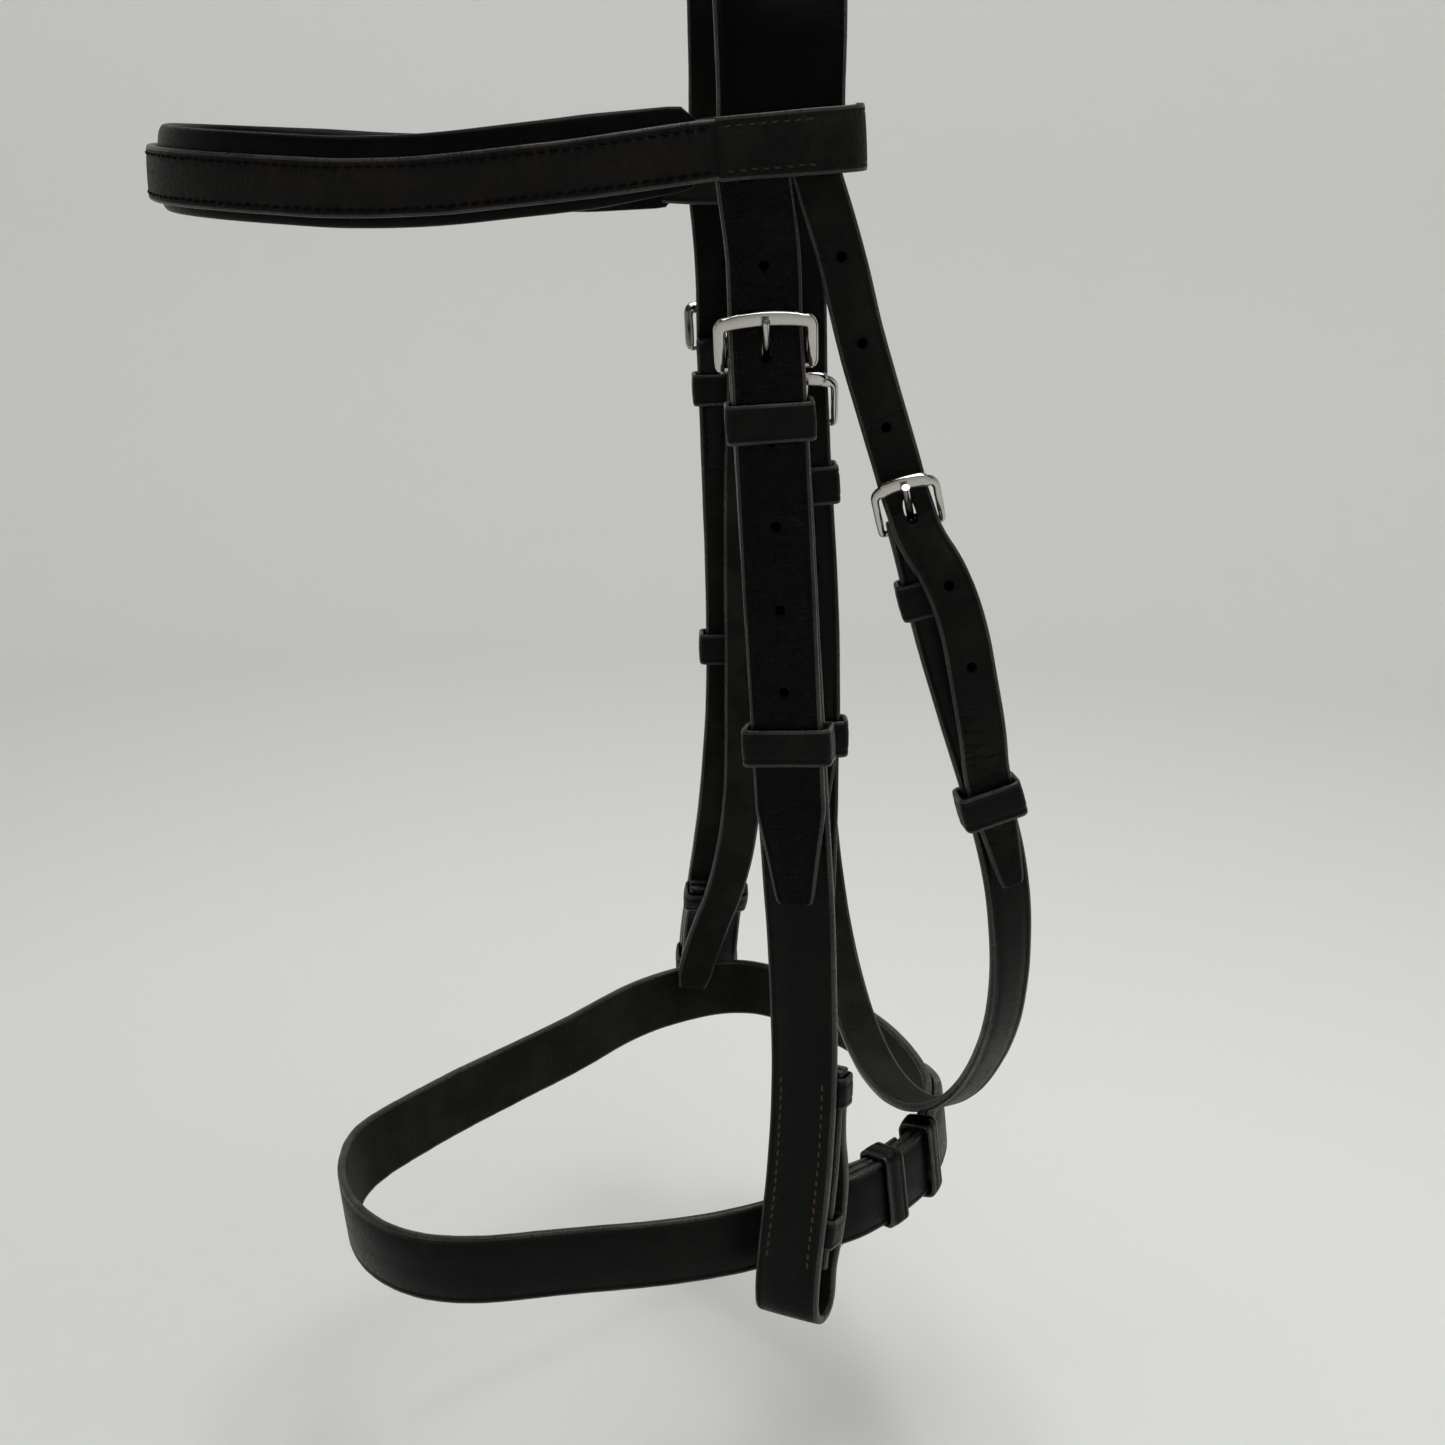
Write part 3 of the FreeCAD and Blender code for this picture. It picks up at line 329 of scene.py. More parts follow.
NOSE = level_line([nose_point(x, y) for x, y in NOSE_PLAN], (0.048, -0.114, 1), -1)
NOSE_ROUND = NOSE.stations[25 * PARTS]          # once round, where the plan's first point recurs
NOSE_FRONT = np.array(nose_point(0, -123.5))
BROW = level_line([
    (87.5, 30, -74.6), (87.5, 16, -75.4), (87.5, 0, -76.6), (86.8, -18, -78.2), (84, -46, -82.2),
    (81, -63, -84.3), (75, -86, -86.9), (66, -107.5, -88), (57, -125.5, -87.7), (42, -146, -87.2),
    (24, -159, -86.9), (0, -164.2, -87), (-24, -159, -88), (-42, -146, -89.2), (-57, -125.5, -90.6),
    (-66, -107.5, -92), (-75, -86, -93), (-81, -63, -93.6), (-84, -46, -94), (-86.8, -18, -94.4),
    (-87.5, 0, -94.6), (-87.5, 16, -94.8), (-87.5, 30, -95)], (0, 0, 1), -1)
BROW_NEAR, BROW_FAR = BROW.stations[2 * PARTS], BROW.stations[20 * PARTS]
CHEEK_BAR, CHEEK_TIP, CHEEK_DROP, CAVESSON_BAR = 44.5, 185.0, 263, 65.0
CHIN_BAR = NOSE_ROUND + 32.0

# ---------------------------------------------------------------- routes over a line
def run(start, stop, low, high=None, pitch=9.0):
    high = low if high is None else high
    count = max(2, round(abs(stop - start) / pitch))
    return [(start + (stop - start) * k / count,
             low + (high - low) * (k / count) ** 2 * (3 - 2 * k / count)) for k in range(count + 1)]


def fold(station, offset, radius, first, last, steps=9):
    angles = [math.radians(first + (last - first) * k / steps) for k in range(steps + 1)]
    return [(station + radius * math.cos(a), offset + radius * math.sin(a)) for a in angles]


def joined(*routes):
    whole = []
    for route in routes:
        for point in route:
            if not whole or math.hypot(point[0] - whole[-1][0], point[1] - whole[-1][1]) >= 0.8:
                whole.append(point)
    return whole


def buckled_end(bar_at, sewn, heading=1):
    clear = 9.0 * heading
    inner = run(bar_at + sewn * heading, bar_at + clear, TURN_BACK)
    closing = run(bar_at + clear, bar_at + 0.5 * heading, TURN_BACK, BAR_OFFSET - WRAP, 4.0)
    return joined(inner, closing, fold(bar_at, BAR_OFFSET, WRAP, 270 if heading > 0 else -90, 90))


def billet_route(start, bar_at, tip):
    rail = bar_at - RISE
    return joined(run(start, rail - 6, OVER, DIP), run(rail - 6, rail + 1, DIP, DIP, 4.0),
                  run(rail + 1, bar_at - 1, DIP, OVER, 4.0), run(bar_at - 1, tip, OVER))


# ---------------------------------------------------------------- ribbons of leather
class Ribbon:
    """A strap: centres with width directions, smoothed, with width and ply along it."""

    def __init__(self, centres, across, outs, width, depth=PLY):
        self.c = np.array(centres)
        steps = np.linalg.norm(np.diff(self.c, axis=0), axis=1)
        self.s = np.concatenate([[0.0], np.cumsum(steps)])
        self.length = self.s[-1]
        slopes = np.diff(self.c, axis=0) / steps[:, None]
        self.t = np.empty_like(self.c)
        self.t[0], self.t[-1] = slopes[0], slopes[-1]
        weight = (steps[1:] / (steps[1:] + steps[:-1]))[:, None]
        self.t[1:-1] = slopes[:-1] * weight + slopes[1:] * (1 - weight)
        self.a = np.array(across)
        self.width, self.depth = width, depth
        faces = np.cross(self.t, self.a)
        share = np.gradient(self.s)
        self.sign = 1.0 if np.sum(np.sum(faces * np.array(outs), axis=1) * share) > 0 else -1.0
        self.phase = rng.uniform(0, 6.28, 8)

    @classmethod
    def over(cls, line, route, width, depth=PLY):
        frames = [line.at(station) for station, _ in route]
        centres = [f[0] + f[3] * offset for f, (_, offset) in zip(frames, route)]
        ribbon = cls(centres, [f[2] for f in frames], [f[3] for f in frames], width, depth)
        ribbon.route = route
        return ribbon

    def run_at(self, station, first=0, last=None):
        """Distance along the ribbon of a station of its line, within a stretch of its route."""
        stations = np.array([point[0] for point in self.route[first:last]])
        order = np.argsort(stations)
        return float(np.interp(station, stations[order], self.s[first:last][order]))

    def frames(self, s):
        s = np.atleast_1d(np.asarray(s, float))
        k = np.clip(np.searchsorted(self.s, s, side="right") - 1, 0, len(self.s) - 2)
        h = self.s[k + 1] - self.s[k]
        f = ((s - self.s[k]) / h)[:, None]
        h = h[:, None]
        p0, p1, t0, t1 = self.c[k], self.c[k + 1], self.t[k], self.t[k + 1]
        c = (p0 * (1 + 2 * f) * (1 - f) ** 2 + t0 * h * f * (1 - f) ** 2
             + p1 * f * f * (3 - 2 * f) + t1 * h * f * f * (f - 1))
        t = ((p1 - p0) / h * 6 * f * (1 - f) + t0 * (1 - f) * (1 - 3 * f) + t1 * f * (3 * f - 2))
        t /= np.linalg.norm(t, axis=1)[:, None]
        a = self.a[k] * (1 - f) + self.a[k + 1] * f
        a -= t * np.sum(a * t, axis=1)[:, None]
        a /= np.linalg.norm(a, axis=1)[:, None]
        n = np.cross(t, a) * self.sign
        return c, t, a, n

    def sizes(self, s):
        wide = [self.width(x, self.length) if callable(self.width) else self.width for x in s]
        deep = [self.depth(x, self.length) if callable(self.depth) else self.depth for x in s]
        return np.array(wide), np.array(deep)

    def wobble(self, s, k):
        p = self.phase[k:k + 3]
        return (np.sin(s / 7.3 + p[0]) + np.sin(s / 3.1 + p[1]) * 0.6 + np.sin(s / 17 + p[2])) / 2.6

    def point(self, s, u, h):
        """Points on the ribbon, from distances along, across, and towards the grain side."""
        c, _, a, n = self.frames(s)
        u = np.atleast_1d(u)[:, None]
        h = np.atleast_1d(h)[:, None]
        return c + a * u + n * h


COLUMNS = 24
OUTER, INNER = (4, 5), (16, 17)     # profile points either side of the middle of each face
LONGEST_ROUND = 2                   # a hole with a shorter half length is shut by a dark face, painted shade for the hole's dark inside


def profile(w, d, groove, dome):
    """Across and outward offsets round a strap's section: grain face, edge, flesh face, edge."""
    t, half = d / 2, w / 2
    e = np.minimum(0.9, 0.3 * w)
    g = np.minimum(1.95, 0.26 * w)
    q = np.minimum(0.36, 0.05 * w)
    a = np.minimum(2.0, 0.17 * w)
    z = np.zeros_like(w)
    left_u = [-half + e, -half + g - q, -half + g, -half + g + q, -a]
    left_h = [t - 0.02, t + 0.02, t - groove, t + 0.03, t + dome]
    u = left_u + [-x for x in reversed(left_u)]
    h = left_h + list(reversed(left_h))
    u += [half - 0.35 * e, half - 0.1 * e, half, half - 0.1 * e, half - 0.35 * e]
    h += [t * 0.86, t * 0.55, z, -t * 0.55, -t * 0.88]
    u += [half - e, a, -a, -half + e]
    h += [-t, -t, -t, -t]
    u += [-half + 0.35 * e, -half + 0.1 * e, -half, -half + 0.1 * e, -half + 0.35 * e]
    h += [-t * 0.88, -t * 0.55, z, t * 0.55, t * 0.86]
    return np.array([x + z for x in u]).T, np.array([x + z for x in h]).T


def made(name, verts, faces, slots, materials, body, uvs=None):
    """A smooth object from points in metres, riding its body."""
    mesh = bpy.data.meshes.new(name)
    mesh.from_pydata([tuple(v) for v in verts], [], faces)
    for material in materials:
        mesh.materials.append(material)
    mesh.polygons.foreach_set("material_index", slots)
    mesh.polygons.foreach_set("use_smooth", [True] * len(faces))
    if uvs is not None:
        layer = mesh.uv_layers.new(name="UVMap")
        index = np.empty(len(mesh.loops), int)
        mesh.loops.foreach_get("vertex_index", index)
        layer.data.foreach_set("uv", np.array(uvs, float)[index].ravel())
    mesh.update()
    thing = bpy.data.objects.new(name, mesh)
    bpy.context.collection.objects.link(thing)
    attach(thing, body)
    return thing


def stand_for(thing, slot_name, *nodes):
    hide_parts(*nodes)


def skin(name, ribbon, body, outer=GRAIN, holes=(), slots=(), step=1.6, groove=0.16, dome=0.08,
         ripple=0.06, closed=False, back=FLESH):
    """The ribbon's surface.  A hole is (distance, half width, half length); a slot is (from, to)."""
    length = ribbon.length
    marks = [0.0, 0.35, length - 0.35, length] if not closed else [0.0]
    blocks = [(s - b * 1.3 - 0.25, s + b * 1.3 + 0.25) for s, a, b in holes]
    for pair in list(blocks) + list(slots):
        marks += pair
    grid = list(np.arange(0, length, step))
    folded = [x for k in range(1, len(ribbon.s)) if ribbon.s[k] - ribbon.s[k - 1] < 2.6
              for x in np.linspace(ribbon.s[k - 1], ribbon.s[k], 3)]
    for x in grid + folded:
        free = all(x < lo - 0.3 or x > hi + 0.3 for lo, hi in blocks)
        if free and all(abs(x - m) > 0.3 for m in marks) and 0 < x < length:
            marks.append(x)
    s = np.array(sorted(set(round(m, 4) for m in marks)))
    keep = np.concatenate([[True], np.diff(s) > 0.05])
    s = s[keep]
    wide, deep = ribbon.sizes(s)
    wide = wide + ribbon.wobble(s, 0) * 0.16
    u, h = profile(wide, deep, groove, dome)
    if not closed:
        u[[0, -1]] *= 1 - 0.5 / wide[[0, -1]][:, None]
        h[[0, -1]] *= 0.66
    h = h + (ribbon.wobble(s, 4) * ripple)[:, None]
    c, _, a, n = ribbon.frames(s)
    verts = (c[:, None] + a[:, None] * u[..., None] + n[:, None] * h[..., None]).reshape(-1, 3)
    uvs = np.stack([u, np.repeat(s[:, None], COLUMNS, 1)], -1).reshape(-1, 2)
    verts, uvs = list(verts), list(uvs)
    faces, kinds = [], []
    rows = len(s)
    turn = ribbon.sign > 0

    def face(points, kind):
        faces.append(tuple(points) if turn else tuple(reversed(points)))
        kinds.append(kind)

    def kind_of(k):
        return 0 if k < 9 else 1 if 15 <= k < 18 else 2

    opened = {int(np.argmin(abs(s - lo))): hole for (lo, hi), hole in zip(blocks, holes)}
    for i in range(rows if closed else rows - 1):
        j = (i + 1) % rows
        cut = any(s[i] > lo - 0.01 and s[j] < hi + 0.01 for lo, hi in slots) and j > i
        for k in range(COLUMNS):
            m = (k + 1) % COLUMNS
            if k in (OUTER[0], INNER[0]) and (cut or i in opened):
                continue
            face((i * COLUMNS + k, i * COLUMNS + m, j * COLUMNS + m, j * COLUMNS + k), kind_of(k))
        if cut:
            for top, low in ((OUTER[0], INNER[1]), (OUTER[1], INNER[0])):
                wall = [i * COLUMNS + top, j * COLUMNS + top, j * COLUMNS + low, i * COLUMNS + low]
                face(wall if top == OUTER[0] else wall[::-1], 2)
            before = any(s[i] - 0.02 < lo for lo, hi in slots)
            after = any(s[j] + 0.02 > hi for lo, hi in slots)
            ends = [i * COLUMNS + x for x in (OUTER[0], INNER[1], INNER[0], OUTER[1])]
            if before:
                face(ends, 2)
            if after:
                face([x + (j - i) * COLUMNS for x in reversed(ends)], 2)
        if i in opened:
            middle, half_u, half_s = opened[i]
            rings = []
            thick = ribbon.sizes([middle])[1]
            for side in (1, -1):
                corners = [(i, OUTER[0]), (i, OUTER[1]), (j, OUTER[1]), (j, OUTER[0])]
                if side < 0:
                    corners = [(i, INNER[1]), (i, INNER[0]), (j, INNER[0]), (j, INNER[1])]
                corners = [r * COLUMNS + k for r, k in corners]
                first = len(verts)
                angles = [math.radians(225 + 22.5 * q) for q in range(16)]
                at = middle + half_s * np.sin(angles)
                wide_at = half_u * np.cos(angles)
                sunk = thick[0] / 2 + ribbon.wobble(at, 4) * ripple * side - 0.22
                verts.extend(ribbon.point(at, wide_at, side * sunk))
                uvs.extend(zip(wide_at, at))
                ring = list(range(first, first + 16))
                rings.append(ring)
                for q in range(4):
                    one, two = corners[q], corners[(q + 1) % 4]
                    chain = [ring[(4 * q + w) % 16] for w in range(5)]
                    tris = [(one, chain[0], chain[1]), (one, chain[1], chain[2]),
                            (one, chain[2], two), (two, chain[2], chain[3]),
                            (two, chain[3], chain[4])]
                    for tri in tris:
                        face(tri[::-1] if side > 0 else tri, 0 if side > 0 else 1)
            # Painted shade: a short hole is shut by a near-black face three quarters of the way
            # through, standing for the shade inside the hole.
            if half_s < LONGEST_ROUND:
                shade_plug = [len(verts) + q for q in range(16)]
                verts.extend([(verts[p] * 0.25 + verts[q] * 0.75) for p, q in zip(*rings)])
                uvs.extend([uvs[q] for q in rings[0]])
                face(shade_plug, 3)
            walls = [len(verts) + q for q in range(32)]
            for ring in rings:
                verts.extend([verts[q] for q in ring])
                uvs.extend([uvs[q] for q in ring])
            for q in range(16):
                r = (q + 1) % 16
                face((walls[q], walls[r], walls[16 + r], walls[16 + q]), 3)
    if not closed:
        face(list(reversed(range(COLUMNS))), 2)
        face([(rows - 1) * COLUMNS + k for k in range(COLUMNS)], 2)
    return made(name, np.array(verts) * 0.001, faces, kinds, [outer, back, EDGE, HOLE_PAINTED_SHADE], body,
                uvs)


def stitches(name, ribbon, rows, body, material, pitch=3.1, long=2.2, thick=0.34):
    """Rows of thread along a ribbon.  A row is (across, from, to)."""
    verts, faces = [], []
    for across, start, stop in rows:
        count = max(1, int(abs(stop - start) / pitch))
        for k in range(count):
            middle = start + (stop - start) * (k + 0.5) / count + random.uniform(-0.15, 0.15)
            edge = across + random.uniform(-0.08, 0.08)
            deep = ribbon.sizes([middle])[1][0] / 2
            c, t, a, n = (v[0] for v in ribbon.frames(middle))
            slant = unit(t + a * 0.12 * (1 if edge > 0 else -1))
            flank = np.cross(n, slant)
            centre = c + a * edge + n * (deep - 0.02)
            first = len(verts)
            for f, wide in ((-0.5, 0.3), (-0.36, 0.85), (0, 1), (0.36, 0.85), (0.5, 0.3)):
                dip = -0.2 if abs(f) > 0.45 else 0.0
                for q in range(6):
                    angle = math.tau * q / 6
                    spoke = (flank * math.cos(angle) + n * math.sin(angle)) * thick * wide
                    verts.append((centre + slant * f * long + spoke + n * dip) * 0.001)
            for r in range(4):
                for q in range(6):
                    p, o = first + r * 6 + q, first + r * 6 + (q + 1) % 6
                    faces.append((p, o, o + 6, p + 6))
            faces.append(tuple(first + q for q in reversed(range(6))))
            faces.append(tuple(first + 24 + q for q in range(6)))
    return made(name, verts, faces, [0] * len(faces), [material], body)


def placement(line, station, offset=0.0, lean=0.0, swap=False):
    """Origin and local axes: across the strap, back along it, and outward, leaned about the first."""
    place, along, _, out = line.at(station)
    y = along if swap else -along
    x = np.cross(y, out)
    origin = place + out * offset
    turned_y = y * math.cos(lean) + out * math.sin(lean)
    return origin, x, turned_y, np.cross(x, turned_y)


def band(node, line, station, width, low, high, room, ply=1.4, tall=10.0, swap=False,
         body="bridle"):
    """A keeper: a closed ribbon round the plies."""
    origin, x, y, z = placement(line, station, swap=swap)
    half = width / 2 + room + ply / 2
    bottom, top = low - room - ply / 2, high + room + ply / 2
    radius = 1.5
    corners = [(half - radius, top - radius, 0), (-half + radius, top - radius, 90),
               (-half + radius, bottom + radius, 180), (half - radius, bottom + radius, 270)]
    path = []
    for cx, cz, start in corners:
        for k in range(6):
            angle = math.radians(start + 18 * k)
            path.append((cx + radius * math.cos(angle), cz + radius * math.sin(angle)))
    path.append(path[0])
    fine = []
    for (ax, az), (bx, bz) in zip(path, path[1:]):
        count = max(1, round(math.hypot(bx - ax, bz - az) / 1.5))
        fine += [(ax + (bx - ax) * k / count, az + (bz - az) * k / count) for k in range(count)]
    fine.append(fine[0])
    middle = (top + bottom) / 2
    centres = [origin + x * px + z * pz for px, pz in fine]
    outs = [x * px + z * (pz - middle) for px, pz in fine]
    ribbon = Ribbon(centres, [y] * len(centres), outs, tall - 0.1, ply - 0.1)
    ribbon.t[0] = ribbon.t[-1] = unit(ribbon.t[0] + ribbon.t[-1])
    thing = skin(node + "_leather", ribbon, body, step=1.5, groove=0.15, dome=0.1, ripple=0.0,
                 closed=True)
    stand_for(thing, "black_leather", node)


def metal_frame(node, line, station, width, swap=False):
    """A buckle: round bar, flat rounded sides and a deep, gently arched top rail."""
    origin, x, y, z = placement(line, station, BAR_OFFSET, LEAN, swap)
    inner = width / 2 + 0.6
    outer = inner + 0.15 * width
    mid, side = (inner + outer) / 2, (outer - inner) / 2
    # Across, above the bar, half width and half thickness.
    stops = [(-mid + 1.2, 0, 0.7, 0.7), (0, 0, 0.7, 0.7), (mid - 1.2, 0, 0.7, 0.7),
             (mid - 0.35, 0.25, 0.95, 0.85), (mid, 1.3, side * 0.9, 0.95), (mid, 4, side, 1.0),
             (mid, 8, side, 1.0), (mid, RISE - 3.2, side, 1.05),
             (mid - 0.25, RISE - 1.6, side * 1.12, 1.1),
             (mid - 1.1, RISE - 0.6, side * 1.3, 1.1), (mid - 2.6, RISE - 0.25, 1.85, 1.1),
             (outer * 0.45, RISE + 0.35, 2.05, 1.2), (0, RISE + 0.75, 2.1, 1.2)]
    stops += [(-a, b, c, d) for a, b, c, d in reversed(stops[3:-1])]
    path = np.array(stops)
    count = len(path)
    fine = []
    for k in range(count):
        four = [path[(k + m) % count] for m in (-1, 0, 1, 2)]
        fine += [between(*four, j / 6) for j in range(6)]
    fine = np.array(fine)
    ways = np.roll(fine[:, :2], -1, 0) - np.roll(fine[:, :2], 1, 0)
    ways /= np.linalg.norm(ways, axis=1)[:, None]
    verts, faces = [], []
    around = 14
    rows = len(fine)
    for (px, py, half, thick), (wx, wy) in zip(fine, ways):
        for q in range(around):
            angle = math.tau * (q + 0.5) / around
            cu, cv = math.cos(angle), math.sin(angle)
            u = math.copysign(abs(cu) ** 0.62, cu) * half
            v = math.copysign(abs(cv) ** 0.75, cv) * thick
            verts.append((origin + x * (px + wy * u) + y * (py - wx * u) + z * v) * 0.001)
    for i in range(rows):
        j = (i + 1) % rows
        for q in range(around):
            r = (q + 1) % around
            faces.append((i * around + q, i * around + r, j * around + r, j * around + q))
    thing = made(node + "_metal", verts, faces, [0] * len(faces), [METAL], "bridle")
    stand_for(thing, "stainless", node)


def pointed(width, taper=26.0, tip=0.55):
    def at(done, whole):
        left = whole - done
        point = tip + (1 - tip) * min(1.0, left / taper)
        return width * point * (1 - 0.22 * max(0.0, 1 - left / 1.6) ** 2)
    return at


def thinned(past, over=8, full=PLY):
    """Ply at a distance past the end of the skived leather."""
    return SKIVED + (full - SKIVED) * max(0.0, min(1.0, past / over))


def skived_start(length):
    return lambda done, whole: thinned(done - length)


def bar_slot(at, before=4.5, after=4.0):
    return at - before, at + after


def seam_lines(width, inset=1.95):
    return width / 2 - inset, inset - width / 2


FOLD_BACK = 5       # points back from the end of a buckled end to the middle of its fold


def hole_rows(ribbon, first, count, buckled, pitch=21.6):
    return [(ribbon.run_at(first + pitch * k), 1.3, 1.35) for k in range(count) if k != buckled]


# ---------------------------------------------------------------- headpiece
def crown_width(done, total):
    middle = math.sin(math.pi * min(1.0, max(0.0, (done - 15) / (total - 44))))
    return CROWN_WIDTH + POLL_SWELL * middle ** 1.3


crown = Ribbon.over(CROWN, run(7, CROWN.length - 7, 0.0, pitch=8.0), crown_width)
thing = skin("headpiece_crown", crown, "bridle", CROWN_LEATHER, groove=0.2, step=2.0,
             back=DARK_FLESH)
stand_for(thing, "black_leather", "headpiece")
for side, line in (("near", NEAR_CHEEK), ("far", FAR_CHEEK)):
    billet = Ribbon.over(line, joined([(-9, OVER)], billet_route(0, CHEEK_BAR, CHEEK_TIP)),
                         pointed(CHEEK - 0.5))
    holes = hole_rows(billet, 19.0, 6, 1)
    holes.append((billet.run_at(CHEEK_BAR - 4.8), 1.65, 3.9))
    thing = skin("headpiece_" + side + "_cheek_billet", billet, "bridle", BILLET, sorted(holes),
                 groove=0.24, back=DARK_FLESH)
    stand_for(thing, "black_leather", "headpiece")
throat_ends = [("near", NEAR_THROAT_BILLET, 0.0), ("far", FAR_THROAT_BILLET, THROAT.length)]
for side, line, bar in throat_ends:
    billet = Ribbon.over(line, joined([(-9, 0)], run(0, line.length, 0.0, pitch=7.0)),
                         pointed(LIGHT - 0.4))
    holes = hole_rows(billet, 17.5, 6, 3)
    bar_z = THROAT.at(bar)[0][2] + 4.8
    heights = billet.c[:, 2]
    holes.append((float(np.interp(-bar_z, -heights, billet.s)), 1.6, 3.7))
    thing = skin("headpiece_" + side + "_throat_billet", billet, "bridle", CREASED, sorted(holes),
                 groove=0.22, back=DARK_FLESH)
    stand_for(thing, "black_leather", "headpiece")

# ---------------------------------------------------------------- cheekpieces
for side, line in (("near", NEAR_CHEEK), ("far", FAR_CHEEK)):
    bar, bottom, ring, back = CHEEK_BAR, CHEEK_BAR + CHEEK_DROP, 5.0, -4.45
    returned = [(14, -10.9), (22, -12.6), (31, -13.2), (39, -12.3), (46, -10.3), (53, -8.1),
                (59, -7.1), (66, -7.1), (74, -7.1)]
    route = joined(buckled_end(bar, 38), run(bar + 4, bottom - ring, 0.0, pitch=12.0),
                   fold(bottom - ring, -ring, ring, 90, -75, 10),
                   [(bottom - d, o) for d, o in returned])
    strap = Ribbon.over(line, route, CHEEK, skived_start(44))
    turned = len(buckled_end(bar, 38))
    slots = [bar_slot(strap.s[turned - FOLD_BACK]), bar_slot(strap.length - 23, 4.0, 3.6)]
    thing = skin(side + "_cheek_strap_leather", strap, "bridle", slots=slots, groove=0.2)
    stand_for(thing, "black_leather", side + "_cheek_strap")
    main_end = -len(returned) - 11
    start = strap.run_at(bottom - 72, turned, main_end)
    stop = strap.run_at(bottom - 14, turned, main_end)
    seam = stitches(side + "_bit_end_thread", strap, [(x, start, stop) for x in (6.0, -6.2)],
                    "bridle", BROWN_THREAD, 2.7, 1.9, 0.3)
    seam = stitches(side + "_cheek_turn_thread", strap, [(x, 4, 24) for x in seam_lines(CHEEK)],
                    "bridle", BLACK_THREAD)
    backing = Ribbon.over(line, run(bottom - 74, bottom - 16, back, pitch=10.0), CHEEK, 2.0)
    thing = skin(side + "_bit_backing_leather", backing, "bridle", FLESH, groove=0.0)
    stand_for(thing, "lining_leather", side + "_bit_backing")
    metal_frame(side + "_cheek_buckle", line, bar, CHEEK)
    band(side + "_cheek_keeper", line, bar + 13, CHEEK, TURN_BACK - SKIVED / 2, OVER + PLY / 2, 0.4)
    band(side + "_cheek_runner", line, bar + 97, CHEEK, -PLY / 2, OVER + PLY / 2, 0.8,
         body=side + "_cheek_runner")
    for name, at, low in (("upper", 68, -7.1 - PLY / 2), ("lower", 27, -8.9)):
        band(side + "_bit_keeper_" + name, line, bottom - at, CHEEK, low, back + 1, 0.2, 1.1, 9.0)

# ---------------------------------------------------------------- throatlash
end = THROAT.length


def throat_depth(done, total):
    return thinned(min(done, total - done) - 38)


far_end = list(reversed(buckled_end(end, 32, heading=-1)))
near_end = buckled_end(0.0, 32)
throat = Ribbon.over(THROAT, joined(near_end, run(4, end - 4, 0.0, pitch=10.0), far_end), LIGHT,
                     throat_depth)
turned = len(near_end)
bar_run = throat.s[turned - FOLD_BACK]
thing = skin("throatlash_leather", throat, "bridle", groove=0.2,
             slots=[bar_slot(bar_run), bar_slot(throat.length - bar_run, 4.0, 4.5)])
stand_for(thing, "black_leather", "throatlash_strap")
rows = [(x, a, b) for x in seam_lines(LIGHT)
        for a, b in ((4, 20), (throat.length - 20, throat.length - 4))]
stitches("throatlash_turn_thread", throat, rows, "bridle", BROWN_THREAD)
metal_frame("near_throat_buckle", THROAT, 0.0, LIGHT)
metal_frame("far_throat_buckle", THROAT, end, LIGHT, True)
band("near_throat_keeper", THROAT, 18.0, LIGHT, TURN_BACK - SKIVED / 2, PLY / 2, 0.4)
band("near_throat_runner", THROAT, 76.0, LIGHT, -PLY / 2, OVER + PLY / 2 + 0.4, 0.8,
     body="near_throat_runner")
band("far_throat_keeper", THROAT, end - 15, LIGHT, TURN_BACK - SKIVED / 2, OVER + PLY / 2, 0.4,
     swap=True)
band("far_throat_runner", THROAT, end - 66, LIGHT, -PLY / 2, OVER + PLY / 2, 0.8, swap=True,
     body="far_throat_runner")

# ---------------------------------------------------------------- cavesson headstrap and cheek strap
near_route = list(reversed(billet_route(0, CAVESSON_BAR, 168)))
far_route = joined(run(0, 20, OVER), run(20, 52, OVER, 0.0), run(52, FAR_CAVESSON.length - 7, 0.0))
centres, across, outs = [], [], []
for line, route in ((NEAR_CAVESSON, near_route),
                    (POLL_STRAP, [(POLL_STRAP.length * k / 22, 0.0) for k in range(1, 22)]),
                    (FAR_CAVESSON, far_route)):
    for station, offset in route:
        place, along, way, out = line.at(station)
        centres.append(place + out * offset)
        across.append(way if way[1] > 0 else -way)
        outs.append(out)
headstrap = Ribbon(centres, across, outs,
                   lambda done, whole: LIGHT * (0.55 + 0.45 * min(1.0, done / 22))
                   * (0.8 + 0.2 * min(1.0, (whole - done) / 5)),
                   lambda done, whole: PLY - 1.5 * max(0.0, 1 - (whole - done) / 14))
heights, runs = headstrap.c[:len(near_route), 2], headstrap.s[:len(near_route)]
holes = []
for k in range(4):
    place = NEAR_CAVESSON.at(CAVESSON_BAR + 16 + 20 * k)[0]
    holes.append((float(np.interp(place[2], heights, runs)), 1.2, 1.3))
slot_height = NEAR_CAVESSON.at(CAVESSON_BAR)[0][2] + 5.6
holes.append((float(np.interp(slot_height, heights, runs)), 1.4, 2.7))
thing = skin("cavesson_headstrap_leather", headstrap, "bridle", holes=sorted(holes), groove=0.2)
stand_for(thing, "black_leather", "cavesson_headstrap")
route = joined(buckled_end(CAVESSON_BAR, 32),
               run(CAVESSON_BAR + 4, NEAR_CAVESSON.length - 2, 0.0, pitch=11.0))
cheek = Ribbon.over(NEAR_CAVESSON, route, LIGHT, skived_start(38))
bar_run = cheek.s[len(buckled_end(CAVESSON_BAR, 32)) - FOLD_BACK]
